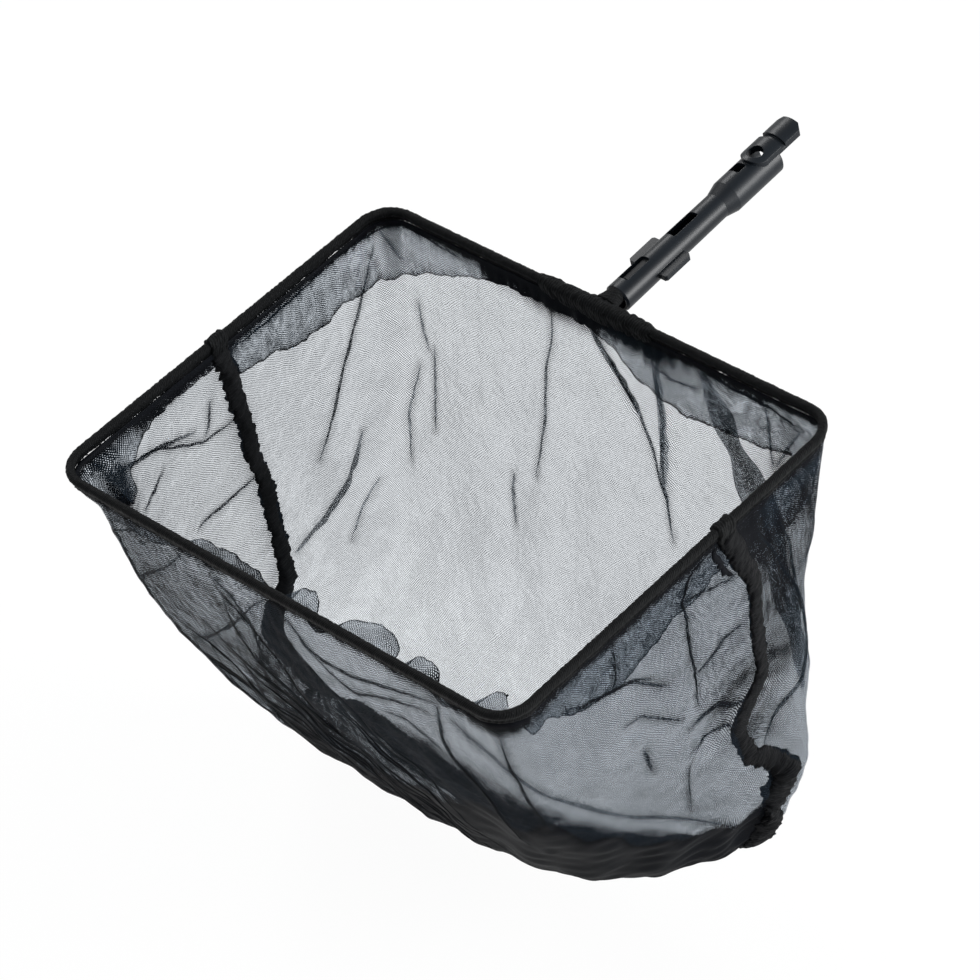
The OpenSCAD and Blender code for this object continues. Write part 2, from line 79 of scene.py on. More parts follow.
def curve(*pairs):
    """A table of places on a curve: each share is given in thousandths, with the curve's value after it."""
    return np.reshape(pairs, (-1, 2)) / [1000, 1]


def pleat(width, darkness, *places):
    """A pleat: its line in shares of the panel, given in thousandths, its width in mm and its darkness."""
    return np.reshape(places, (-1, 2)) / 1000, width, darkness


def length_property(name, description, millimetres):
    """A length that a user may change, given in millimetres and kept in metres."""
    return bpy.props.FloatProperty(
        name=name, description=description, default=millimetres * MM, unit="LENGTH")


def colour_property(name, description, hex_colour):
    """A colour that a user may change."""
    return bpy.props.StringProperty(name=name, description=description, default=hex_colour)


# Sizes and colours

# The loop's centre in the part's frame, whose origin is the mouth of the pole socket
LOOP_CENTRE = np.array([0.0, -206.863, -2.734]) * MM

# Where the side seams meet the loop: how far before the left side's middle and how far behind the right's
LEFT_SEAM_BEFORE, RIGHT_SEAM_BEHIND = 5 * MM, 28 * MM

# How far each side seam strays round the bag on its way down, in mm, by share of the way down.
# A stray is counted from the left side by the front to the right side, as places round the mouth are.
STRAYS = {
    "left": curve(
        0, 0, 40, -4, 150, -9, 250, -15, 360, -17, 430, -17, 540, 11, 660, 8, 800, 2, 1000, 0),
    "right": curve(
        0, 0, 30, 5, 100, 13, 180, 11, 250, 11, 330, -12, 400, -8, 500, 21, 600, 12, 680, 0, 760, -10,
        840, -20, 920, -26, 1000, -28),
}

# Pleats of each panel: width in mm, darkness, then the line's places in thousandths of the panel, each across
# from the left seam and down
PLEATS = {
    "front": [pleat(*row) for row in (
        (2.4, 0.5, 163, 18, 138, 32, 102, 47, 52, 71),
        (1.4, 0.53, 138, 32, 102, 46, 43, 100, 3, 102),
        (1.4, 0.5, 99, 85, 117, 95, 139, 106),
        (1.2, 0.43, 27, 50, 35, 80, 41, 90),
        (1.3, 0.5, 4, 215, 37, 218, 82, 215),
        (1.5, 0.56, 91, 295, 89, 312, 72, 420, 62, 504, 75, 586, 100, 640),
        (1.3, 0.43, 118, 205, 150, 200, 190, 170, 243, 153),
        (1.1, 0.43, 157, 115, 200, 80, 241, 51),
        (1.5, 0.56, 26, 455, 67, 433, 145, 364, 200, 300),
        (1.4, 0.5, 20, 600, 80, 660, 160, 720, 300, 770, 440, 790),
        (1.2, 0.5, 50, 500, 120, 580, 200, 650, 330, 720),
        (1.6, 0.56, 100, 420, 160, 500, 260, 580, 340, 630, 450, 660),
        (1, 0.43, 150, 330, 220, 400, 300, 500, 400, 550),
        (1.4, 0.5, 220, 250, 280, 340, 350, 420, 420, 470),
        (1, 0.43, 300, 120, 340, 200, 400, 280, 470, 360, 550, 420),
        (1.4, 0.59, 936, 26, 927, 104, 929, 160, 926, 215),
        (3.4, 1, 987, 0, 980, 12, 981, 38, 987, 62),
        (1.4, 0.56, 976, 4, 953, 8, 942, 18, 933, 32, 935, 62),
        (1.1, 0.5, 933, 30, 959, 45, 986, 63),
        (1.8, 0.53, 471, 9, 483, 40, 495, 59, 519, 62, 545, 57, 590, 39, 651, 15),
        (1.2, 0.46, 481, 44, 502, 77, 534, 96, 565, 75, 594, 58, 640, 40),
        (1.3, 0.53, 376, 11, 385, 50, 405, 78, 413, 119, 427, 193, 450, 280),
        (1.4, 0.53, 384, 35, 376, 92, 379, 160, 404, 217, 439, 272, 500, 330),
        (2.6, 0.53, 235, 20, 232, 77, 226, 115, 208, 200, 222, 260, 229, 335, 250, 420, 262, 500),
        (1.2, 0.37, 985, 147, 965, 139, 930, 157),
        (2.2, 0.46, 985, 280, 960, 262, 943, 234, 909, 222),
        (1.3, 0.43, 984, 310, 956, 285, 923, 267, 908, 280),
        (1.4, 0.37, 860, 75, 872, 88, 898, 128),
        (1.2, 0.37, 845, 130, 864, 136, 904, 200),
        (1.1, 0.53, 854, 4, 848, 51, 841, 64),
        (1.6, 0.53, 788, 32, 805, 48, 841, 64, 869, 79, 886, 99),
        (1.3, 0.56, 723, 14, 722, 63, 727, 118, 731, 200, 740, 280),
        (1.9, 0.59, 655, 9, 645, 90, 658, 145, 683, 210, 700, 300, 720, 380),
        (1.9, 0.43, 860, 204, 861, 252),
        (0.7, 0.31, 906, 289, 893, 419),
        (1, 0.31, 570, 100, 600, 90, 640, 120),
        (0.9, 0.34, 450, 50, 500, 150, 540, 240, 600, 300),
        (1.5, 0.5, 400, 820, 550, 860, 700, 850, 850, 830, 950, 780),
        (1.2, 0.37, 450, 720, 600, 770, 750, 770, 880, 730),
    )],
    "back": [pleat(*row) for row in (
        (1.5, 0.49, 226, 20, 221, 30, 175, 121, 140, 200, 111, 262),
        (1.2, 0.12, 232, 5, 253, 40, 262, 44),
        (1.2, 0.12, 271, 90, 275, 120, 283, 146),
        (1.2, 0.19, 292, 140, 289, 205, 291, 255),
        (1.2, 0.19, 268, 170, 250, 242, 252, 308),
        (3, 0.36, 187, 250, 183, 262, 160, 317, 112, 372, 78, 385, 35, 405),
        (1.1, 0.12, 205, 327, 174, 364, 149, 421),
        (1.4, 0.31, 469, 12, 469, 55, 460, 97, 462, 163, 451, 250),
        (1.6, 0.12, 414, 260, 412, 290, 420, 335),
        (2.2, 0.31, 600, 6, 603, 11, 615, 48, 630, 93, 637, 152, 660, 233),
        (1.4, 0.4, 530, 20, 543, 38, 568, 71, 599, 107, 630, 155, 652, 199, 664, 252),
        (3.6, 0.5, 517, 10, 536, 35, 565, 63, 595, 98),
        (5, 0.12, 612, 20, 621, 60, 634, 110, 646, 170),
        (17, 0.5, 668, 4, 683, 26, 708, 62, 738, 105, 770, 150, 800, 210, 830, 280, 860, 370),
        (1.5, 0.31, 930, 30, 920, 83, 911, 143, 897, 210, 880, 300),
        (1.2, 0.31, 754, 13, 764, 50, 775, 82),
        (1.2, 0.12, 800, 23, 787, 48, 778, 80),
        (1.4, 0.4, 598, 24, 634, 33, 670, 30),
        (1.3, 0.9, 633, 3, 665, 5, 682, 7, 708, 10, 754, 11, 782, 16, 803, 27),
        (1.2, 0.9, 179, 5, 223, 8, 257, 4, 298, 7, 341, 11),
        (1, 0.8, 10, 10, 60, 12, 120, 9, 180, 5),
        (2, 0.36, 970, 20, 930, 120, 880, 220, 900, 300, 950, 360, 980, 420),
        (1.4, 0.12, 800, 80, 860, 130, 900, 140),
        (1.6, 0.12, 300, 800, 500, 860, 700, 860, 900, 800),
    )],
}

# Share down at which the front panel's slack turns dark and close, by share across
SLACK_EDGE = curve(
    0, 0.7, 120, 0.66, 200, 0.5, 320, 0.42, 450, 0.38, 580, 0.3, 660, 0.24, 740, 0.25, 785, 0.32,
    810, 0.38, 860, 0.46, 910, 0.52, 960, 0.57, 1000, 0.6)

# Where the knit is bunched close, and its threads are drawn darker there as painted shade: share across,
# share down, reach across and down in shares, amount
BUNCHES_AND_SHADE = {
    "front": [
        (0.16, 0.045, 0.018, 0.05, 0.5), (0.1, 0.62, 0.16, 0.16, 0.3), (0.3, 0.25, 0.17, 0.34, 0.23),
        (0.6, 0.15, 0.16, 0.2, 0.06), (0.9, 0.2, 0.12, 0.3, 0.02), (0.93, 0.06, 0.08, 0.1, 0.04),
        (0.965, 0.25, 0.03, 0.08, 0.25), (0.07, 0.006, 0.07, 0.008, 0.5), (0.7, 0.004, 0.07, 0.012, 0.4),
        (0.84, 0.46, 0.14, 0.2, 0.035)],
    "back": [
        (0.965, 0.2, 0.035, 0.2, 0.35), (0.985, 0.05, 0.03, 0.06, 0.4), (0.5, 0, 0.13, 0.022, 0.75),
        (0.63, 0, 0.08, 0.02, 0.35), (0.86, 0.13, 0.09, 0.12, 0.16), (0.85, 0.07, 0.08, 0.05, 0.2),
        (0.5, 0.97, 0.5, 0.06, 0.4)],
}

# Depth of the hem allowance in mm, by share across each panel from the left seam
ALLOWANCES = {
    "front": curve(
        0, 6, 30, 6, 90, 6, 115, 9.7, 145, 16, 170, 26, 200, 22, 270, 14, 330, 10, 440, 9, 462, 13,
        474, 15, 488, 13.5, 500, 9, 520, 8.6, 538, 11, 558, 15, 573, 18, 580, 17, 588, 9, 600, 9,
        615, 10.5, 630, 10.3, 645, 8.8, 672, 8.8, 688, 13, 702, 15, 720, 15, 735, 13, 745, 9, 755, 18,
        770, 12, 800, 22, 860, 27, 920, 18, 1000, 16),
    "back": curve(
        0, 19, 40, 22, 80, 26, 110, 29, 140, 29, 170, 26.5, 240, 27, 286, 21, 346, 13, 383, 8.5, 420, 7,
        520, 8, 560, 12, 590, 21, 622, 25.5, 660, 27, 720, 25, 800, 22, 900, 25, 1000, 24),
}

# Flaps of the front allowance that stand up, inwards: share across, half width in mm, angle in degrees
FLAPS = [(0.17, 9, 45), (0.385, 27, 74), (0.475, 8.5, 72), (0.553, 16, 82), (0.622, 9.5, 84), (0.711, 15, 84)]

# The bottom seam in the loop's frame: x of its left end and its length in mm, then y at its left end, in its
# middle and at its right end, and the power by which it sweeps from the middle to the ends
BOTTOM_START, BOTTOM_RUN = -118.5, 247.5
BOTTOM_SWEEP = (5 * MM, -11 * MM, 24.3 * MM)
BOTTOM_POWER = 1.57

# Share down at which the bag's section has the belly's outline, and that outline's place from the loop's
BELLY_SHARE = 0.79
BELLY_SHIFT = np.array([-1.4, -10.5]) * MM
# Powers by which the section widens to the belly, closes on the bottom seam, and the depth grows
BELLY_POWER, CLOSE_POWER, DEPTH_POWER = 0.52, 1.03, 0.885
# The swell behind the right seam: its height, then in mm round the mouth how far behind it is and its reach
SWELL, SWELL_PLACE, SWELL_REACH = 25.6 * MM, 46, 28

# Share round the mouth of the back bar's middle, and half the gaps that the neck leaves in hem and stitches
BACK_MIDDLE = 0.75
HEM_NECK_GAP, STITCH_NECK_GAP = 6.4 * MM, 7 * MM

# A panel's rough width and depth, on which its patches are laid out, and how far its grid stays off the seams
ROUGH_WIDTH, ROUGH_DEPTH = 0.43, 0.23
SEAM_INSET = 0.001

# The bound bundles: their outline's radius, drop and fold in mm
WRAP_RADIUS, WRAP_DROP, WRAP_FOLD = 2.9, 7.0, 3.8
# Lengths of the gather on the back bar and of the bindings at the side seams
BAR_GATHER, SEAM_BINDING = 62 * MM, 9.5 * MM
# Length of a hem stitch, and pitch of the overlock's stitches
STITCH_LENGTH, OVERLOCK_PITCH = 1.9 * MM, 1.9 * MM
# How far the neck's bundle goes into the connector's mouth
NECK_TUCK = 3 * MM

# Grids and stations: columns and rows of the sheets, places along the ropes and sides round them
PANEL_GRID, ALLOWANCE_GRID, GATHER_GRID, PLEAT_GRID = (321, 151), (381, 25), (300, 41), (161, 91)
HEM_SIDES, WRAP_SIDES, NECK_SIDES, PLEAT_SIDES, SEAM_SIDES = 26, 36, 48, 8, 24
HEM_STEP, WRAP_STEP = 0.8 * MM, 0.5 * MM
NECK_STATIONS, PLEAT_STATIONS, SEAM_STATIONS = 44, 46, 420

# Sewn cloths: colour, distance between ridges, roughness, and how much lighter the cloth is between threads
SEWN_CLOTHS = {
    "Folded knit": ("hem", 0.9 * MM, 0.62, 2.0),
    "Bound knit": ("hem", 1.3 * MM, 0.66, 2.6),
    "Spun polyester thread": ("thread", 0.3 * MM, 0.5, 2.2),
    "Overlock thread": ("thread", 0.7 * MM, 0.66, 1.6),
}

# Soft lamps: place, side of the square and power, all turned to the middle of the bag
LAMPS = {
    "Key lamp": ((-0.9, -0.6, 1.9), 0.9, 13.0),
    "Fill lamp": ((1.6, -0.5, 1.3), 1.2, 4.0),
    "Side lamp": ((1.45, 0.7, 0.3), 0.65, 40.0),
    "Back lamp": ((-1.35, 0.85, 1.2), 0.6, 15.0),
}
LAMP_AIM = np.array([0, -0.18, -0.05])
FLOOR_HALF, FLOOR_GAP = 3.0, 2.5 * MM

# The photograph's camera in the part's frame: its place, its right, up and backward directions, and the
# width of its sensor and its focal length in mm
CAMERA_PLACE = (0.9501, -0.94526, 1.08577)
CAMERA_RIGHT = (0.7257, 0.6688, -0.1616)
CAMERA_UP = (-0.3813, 0.5864, 0.7146)
CAMERA_BACK = (0.5727, -0.4570, 0.6806)
CAMERA_SENSOR, CAMERA_LENS = 36.0, 149.595


class FishNetLoopSizes(bpy.types.PropertyGroup):
    """Sizes of the loop and of the mesh that is folded and stitched round it."""

    mouth_width: length_property(
        "Mouth width", "Length of the loop's long sides, between the wire's centres", 250)
    mouth_depth: length_property(
        "Mouth depth", "Length of the loop's short sides, between the wire's centres", 195)
    corner_radius: length_property("Corner radius", "Bend radius of the loop's corners", 14)
    hem_radius: length_property("Hem radius", "Outer radius of the mesh rolled round the wire", 1.9)
    hem_drop: length_property("Hem drop", "How far the stitched fold hangs below the wire's centre", 4.5)
    fold_thickness: length_property("Fold thickness", "Thickness of the stitched fold", 1.3)
    stitch_pitch: length_property("Stitch pitch", "Distance from one hem stitch to the next", 2.5)
    stitch_radius: length_property("Thread radius", "Radius of the hem's sewing thread", 0.2)
    stitch_drop: length_property("Stitch drop", "How far the stitched rows lie below the wire's centre", 3.3)


class FishNetBagSizes(bpy.types.PropertyGroup):
    """Sizes of the mesh bag."""

    belly_width: length_property("Belly width", "Width of the bag's section below the mouth", 284)
    belly_depth: length_property("Belly depth", "Depth of the bag's section below the mouth", 132)
    belly_radius: length_property("Belly radius", "Corner radius of the bag's section below the mouth", 63.5)
    left_depth: length_property("Left depth", "Depth of the bag's left bottom corner", 223)
    middle_depth: length_property("Middle depth", "Depth of the bag's bottom between its corners", 210)
    right_depth: length_property("Right depth", "Depth of the bag's right bottom corner", 173)
    cloth_thickness: length_property("Cloth thickness", "Thickness of the knitted mesh", 0.3)
    knit_cell: length_property("Knit cell", "Width of one hole of the knit", 1.3)
    seam_width: length_property("Seam width", "Width of the overlocked seams", 8.4)
    seam_thickness: length_property("Seam thickness", "Thickness of the overlocked seams", 3.2)
    fold_reach: length_property("Fold reach", "Height of the slack folds in the panels", 1.4)
    fold_pitch: length_property("Fold pitch", "Distance from one slack fold to the next", 42)
    fold_clear: length_property(
        "Fold clearance", "Distance from a side seam over which the slack folds rise", 24)


class FishNetColours(bpy.types.PropertyGroup):
    """Colours of the finishes, as sRGB hex values."""

    knit: colour_property("Knit", "Colour of the bag's nylon thread where it lies open", "#1b232b")
    # Painted shade: the darker colour the threads are drawn in where bunched threads shade each other
    bunched_knit_shade: colour_property("Close knit", "Colour of the nylon thread where it is bunched", "#0b0d11")
    veil: colour_property(
        "Veil", "Tinge that light takes at the translucent edges of the nylon thread", "#fbfdff")
    hem: colour_property("Hem", "Colour of the folded hem", "#08090a")
    thread: colour_property("Sewing thread", "Colour of the sewing and overlock thread", "#0a0b0d")
    plastic: colour_property("Connector", "Colour of the moulded connector", "#0a1016")
    coating: colour_property("Coating", "Colour of the wire's plastic coating", "#101113")
    rubber: colour_property("Plug", "Colour of the rubber plug", "#17181a")
    steel: colour_property("Steel", "Colour of the bare wire", "#a1a3a5")
    floor: colour_property("Floor", "Colour of the studio floor", "#f4f4f4")


GROUPS = {"fish_net_loop": FishNetLoopSizes, "fish_net_bag": FishNetBagSizes,
          "fish_net_colours": FishNetColours}


# The bag's surface

def smooth_step(x):
    """3x^2 - 2x^3 between 0 and 1."""
    x = np.clip(x, 0, 1)
    return x * x * (3 - 2 * x)


def quarter_length(w, d, r):
    """A quarter of a rounded rectangle's outline: half of each side, less the corners, plus a bend."""
    return w / 2 + d / 2 - 2 * r + math.pi * r / 2


def rounded_rectangle(t, w, d, r):
    """Place at share t of the outline of a w by d rectangle with corners of radius r.

    Share 0 is the middle of the left side, and shares grow by the front. Each quarter is folded onto one:
    up the side, round the bend by r(cos a, sin a), along the end.
    """
    m = quarter_length(w, d, r)
    s = (t - np.floor(t)) * 4 * m
    q = np.where(s < m, s, np.where(s < 2 * m, 2 * m - s, np.where(s < 3 * m, s - 2 * m, 4 * m - s)))
    run, bend = d / 2 - r, math.pi * r / 2
    a = (q - run) / r
    bent = q < run + bend
    x = np.where(q < run, w / 2, np.where(bent, w / 2 - r + r * np.cos(a), w / 2 - r - (q - run - bend)))
    y = np.where(q < run, q, np.where(bent, d / 2 - r + r * np.sin(a), d / 2))
    return np.stack([np.where((s < m) | (s > 3 * m), -x, x), np.where(s < 2 * m, -y, y)], -1)


class Bag:
    """The bag as a surface of two shares: t round the mouth and v down to the bottom seam."""

    def __init__(self, scene):
        loop = self.loop = scene.fish_net_loop
        self.sizes = scene.fish_net_bag
        self.length = 4 * quarter_length(loop.mouth_width, loop.mouth_depth, loop.corner_radius)
        self.left = LEFT_SEAM_BEFORE / self.length
        self.right = 0.5 + RIGHT_SEAM_BEHIND / self.length

    def width(self, side):
        """A panel's width along the loop, from seam to seam."""
        return (self.right - self.left if side == "front" else 1 + self.left - self.right) * self.length

    def mouth(self, t):
        """Place at share t of the loop, level with the wire's centre."""
        return rounded_rectangle(t, self.loop.mouth_width, self.loop.mouth_depth, self.loop.corner_radius)

    def from_left(self, t):
        """The same place on the loop, as a share of one turn from the left seam on."""
        return self.left + np.mod(t - self.left, 1)

    def bottom_share(self, t):
        """Share along the bottom seam, from the left corner, that the place at t hangs over."""
        t = self.from_left(t)
        return np.where(t <= self.right, (t - self.left) / (self.right - self.left),
                        (1 + self.left - t) / (1 + self.left - self.right))

    def bottom_line(self, k):
        """Bottom seam at share k: x runs straight, y and z sweep by |2k - 1|^1.57 from the middle's."""
        sweep = np.abs(2 * k - 1) ** BOTTOM_POWER
        blend = lambda a, m, b: np.where(k < 0.5, m + (a - m) * sweep, m + (b - m) * sweep)
        b = self.sizes
        return np.stack([(BOTTOM_START + BOTTOM_RUN * k) * MM, blend(*BOTTOM_SWEEP),
                         -blend(b.left_depth, b.middle_depth, b.right_depth)], -1)

    def point(self, t, v):
        """Section times cos, depth times sin.

        The section runs from the loop's outline to the belly's by smooth(v / 0.79)^0.52. Sideways it closes
        on the bottom seam by cos(90 v)^1.03, and its depth grows by sin(90 v)^0.885. Behind the right seam
        it swells by a bell curve round the mouth times sin(180 v)^2.
        """
        b, drop = self.sizes, self.loop.hem_drop
        t, v = np.broadcast_arrays(np.asarray(t, float), np.asarray(v, float))
        t = self.from_left(t)
        belly = (smooth_step(v / BELLY_SHARE) ** BELLY_POWER)[..., None]
        low = rounded_rectangle(t, b.belly_width, b.belly_depth, b.belly_radius) + BELLY_SHIFT
        section = (1 - belly) * self.mouth(t) + belly * low
        line = self.bottom_line(self.bottom_share(t))
        close = np.clip(np.cos(v * math.pi / 2), 0, None) ** CLOSE_POWER
        deep = np.clip(np.sin(v * math.pi / 2), 0, None) ** DEPTH_POWER
        swell = (SWELL * np.exp(-(((t - self.right) * self.length / MM - SWELL_PLACE) / SWELL_REACH) ** 2)
                 * np.sin(math.pi * v) ** 2)
        x = line[..., 0] + (section[..., 0] - line[..., 0]) * close + swell
        y = line[..., 1] + (section[..., 1] - line[..., 1]) * close
        z = -drop + (line[..., 2] + drop) * deep
        return np.stack([x, y, z], -1) + LOOP_CENTRE

    def outward(self, t, v):
        """Unit normal of the surface, out of the bag: down it crossed with round it."""
        e = 0.002
        va = np.clip(v - e, 0, 1 - 2 * e)
        down = self.point(t, va + 2 * e) - self.point(t, va)
        round_it = self.point(t + e, np.minimum(v, 0.995)) - self.point(t - e, np.minimum(v, 0.995))
        return unit(np.cross(down, round_it))

    def seam_share(self, side, v):
        """Share round the mouth at which a side seam runs, strays and all, each stray eased in and out."""
        table = STRAYS[side]
        place = np.interp(v, table[:, 0], np.arange(len(table)))
        whole = np.floor(place)
        place = whole + smooth_step(place - whole)
        stray = np.interp(place, np.arange(len(table)), table[:, 1]) * MM / self.length
        return (self.left if side == "left" else self.right) + stray

    def panel_share(self, side, u, v):
        """Share round the mouth of a panel's place: straight across, dragged along by seams that stray.

        The drag fades as (1 - distance / 75 mm)^2 from the seam.
        """
        if side == "front":
            t = self.left + (self.right - self.left) * u
            from_left, from_right = t - self.left, self.right - t
        else:
            t = 1 + self.left - (1 + self.left - self.right) * u
            from_left, from_right = 1 + self.left - t, t - self.right
        fade = lambda d: np.clip(1 - d * self.length / (75 * MM), 0, 1) ** 2
        return (t + (self.seam_share("left", v) - self.left) * fade(from_left)
                + (self.seam_share("right", v) - self.right) * fade(from_right))

    def path(self, side, line, n):
        """A line on a panel, given in shares, as n places in space."""
        uv = resample(line, n)
        return self.point(self.panel_share(side, uv[:, 0], uv[:, 1]), uv[:, 1])


def unit(p):
    """Vectors of length one in the same directions."""
    return p / np.maximum(np.linalg.norm(p, axis=-1, keepdims=True), 1e-12)


def turns(sides):
    """Angles of the sides of a rope."""
    return np.arange(sides) / sides * 2 * math.pi


def ripples(x, y, count, shortest, longest, seed):
    """Count sine waves of random heading and phase, with lengths between the two given.

    Their sum is divided by 2 sqrt(count / 2), so it seldom leaves -1 to 1.
    """
    rng = np.random.default_rng(seed)
    total = np.zeros(np.broadcast(x, y).shape)
    for _ in range(count):
        a, f, p = rng.uniform(0, 2 * math.pi), 1 / rng.uniform(shortest, longest), rng.uniform(0, 2 * math.pi)
        total = total + np.sin(2 * math.pi * f * (x * math.cos(a) + y * math.sin(a)) + p)
    return total / (count / 2) ** 0.5 / 2


def run_along(line):
    """Distance along a polyline at each of its places."""
    return np.concatenate([[0], np.cumsum(np.linalg.norm(np.diff(line, axis=0), axis=1))])


def moving_mean(places, span):
    """Places rounded by the mean of span neighbours, with the two ends repeated."""
    padded = np.pad(places, ((span // 2, span // 2), (0, 0)), "edge")
    return np.stack([np.convolve(column, np.ones(span) / span, "valid") for column in padded.T], 1)


def resample(line, n):
    """n places along a polyline of shares, evenly by its length and rounded by a moving mean."""
    line = np.asarray(line, float)
    run = run_along(line)
    s = np.linspace(0, run[-1], 4 * n)
    fine = np.stack([np.interp(s, run, column) for column in line.T], 1)
    soft = moving_mean(fine, 2 * (n // 6) + 1)
    return soft[np.linspace(0, len(soft) - 1, n).round().astype(int)]


def distance_to_line(points, line):
    """Distance of each point to the nearest stretch of a polyline, in space."""
    best = np.full(points.shape[:-1], np.inf)
    for a, b in zip(line[:-1], line[1:]):
        ab = b - a
        s = np.clip(((points - a) @ ab) / max(ab @ ab, 1e-12), 0, 1)
        best = np.minimum(best, np.linalg.norm(points - a - s[..., None] * ab, axis=-1))
    return best


# Meshes

def make_piece(name, shape, material, marks=None):
    """A piece of the net on its one body. Its shape is points, faces and the UV of each face corner."""
    points, faces, corner_uv = shape
    mesh = bpy.data.meshes.new(name)
    mesh.from_pydata(points.reshape(-1, 3).tolist(), [], faces)
    layer = mesh.uv_layers.new(name="UVMap")
    layer.data.foreach_set("uv", np.asarray(corner_uv, np.float32).ravel())
    for mark, values in (marks or {}).items():
        attribute = mesh.attributes.new(mark, "FLOAT", "POINT")
        attribute.data.foreach_set("value", np.asarray(values, np.float32).ravel())
    mesh.polygons.foreach_set("use_smooth", np.ones(len(faces), bool))
    mesh.materials.append(material)
    mesh.update()
    piece = bpy.data.objects.new(name, mesh)
    bpy.context.scene.collection.objects.link(piece)
    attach(piece, "root")
    return piece


def grid_faces(rows, columns, start=0, closed=False):
    """Four-sided faces of a rows by columns grid of points, closed round its columns if asked."""
    span = columns if closed else columns - 1
    r, c = np.meshgrid(np.arange(rows - 1), np.arange(span), indexing="ij")
    n = (c + 1) % columns
    quads = np.stack([r * columns + c, r * columns + n, (r + 1) * columns + n, (r + 1) * columns + c], -1)
    return quads.reshape(-1, 4) + start


def enclosed(points, quads):
    """Six times the volume inside four-sided faces, which is below zero where they point inwards."""
    a, b, c, d = (points[quads[:, i]] for i in range(4))
    return (np.cross(a, b) * c).sum() + (np.cross(a, c) * d).sum()


def carry(places, across, up, x, y):
    """Sections of an outline carried along a path: each place plus x across and y up."""
    return places[:, None] + across[:, None] * x[..., None] + up[..., None, :] * y[..., None]


def tube_mesh(sections, along, around):
    """Points, faces and corner UVs of a tube through sections (stations by sides), with a cap at each end.

    along is each station's UV length in metres, and around the UV width of the whole turn. Faces are turned
    about where the volume inside them comes out below zero.
    """
    rows, sides = sections.shape[:2]
    quads = grid_faces(rows, sides, closed=True)
    r, c = np.meshgrid(np.arange(rows - 1), np.arange(sides), indexing="ij")
    u = np.stack([c, c + 1, c + 1, c], -1) / sides * around
    v = np.stack([along[r], along[r], along[r + 1], along[r + 1]], -1)
    uv = np.stack([u, v], -1).reshape(-1, 4, 2)
    points = sections.reshape(-1, 3)
    caps = [list(range(sides))[::-1], list(range((rows - 1) * sides, rows * sides))]
    if enclosed(points, quads) < 0:
        quads, uv, caps = quads[:, ::-1], uv[:, ::-1], [caps[0][::-1], caps[1][::-1]]
    cap_uv = [np.zeros((sides, 2)) + [0, along[0]], np.zeros((sides, 2)) + [0, along[-1]]]
    return points, quads.tolist() + caps, np.concatenate([uv.reshape(-1, 2)] + cap_uv)


def join_tubes(tubes):
    """Several tubes as one set of points, faces and corner UVs."""
    points, faces, uvs, start = [], [], [], 0
    for p, f, uv in tubes:
        points.append(p)
        faces.extend([[i + start for i in face] for face in f])
        uvs.append(uv)
        start += len(p)
    return np.concatenate(points), faces, np.concatenate(uvs)


def sheet_piece(scene, name, points, uv, bunch):
    """A sheet of the knit through a grid of points, with its real thickness as a live modifier."""
    faces = grid_faces(*points.shape[:2])
    shape = points, faces.tolist(), uv.reshape(-1, 2)[faces.ravel()]
    # the point value is how close the knit lies, and it also paints shade into the threads' colour
    piece = make_piece(name, shape, knit(scene), {"bunch": bunch})
    wall = piece.modifiers.new("Cloth thickness", "SOLIDIFY")
    wall.thickness = scene.fish_net_bag.cloth_thickness
    wall.offset = 0
    wall.use_even_offset = False
    return piece


# Materials

def linear(hex_colour):
    """An sRGB hex colour as the linear RGBA that shaders take."""
    c = np.array([int(hex_colour[i:i + 2], 16) for i in (1, 3, 5)]) / 255
    c = np.where(c <= 0.04045, c / 12.92, ((c + 0.055) / 1.055) ** 2.4)
    return (*c.tolist(), 1.0)


def add_node(tree, kind, inputs=None, **settings):
    """Adds a shader node with its settings, and gives each named input a value or a link.

    A link comes from a socket, or from the first output of a node.
    """
    node = tree.nodes.new("ShaderNode" + kind)
    for key, value in settings.items():
        setattr(node, key, value)
    for key, value in (inputs or {}).items():
        if isinstance(value, bpy.types.Node):
            value = value.outputs[0]
        if isinstance(value, bpy.types.NodeSocket):
            tree.links.new(value, node.inputs[key])
        else:
            node.inputs[key].default_value = value
    return node


def set_ramp(ramp, *stops):
    """Puts a colour ramp's two ends at the given positions and linear colours."""
    for element, (position, colour) in zip(ramp.color_ramp.elements, stops):
        element.position, element.color = position, colour


def shade(colour, factor):
    """A linear colour made lighter or darker."""
    return (*(c * factor for c in colour[:3]), 1.0)


def new_material(name):
    """An empty node material and its tree."""
    material = bpy.data.materials.new(name)
    material.use_nodes = True
    material.node_tree.nodes.clear()
    return material, material.node_tree


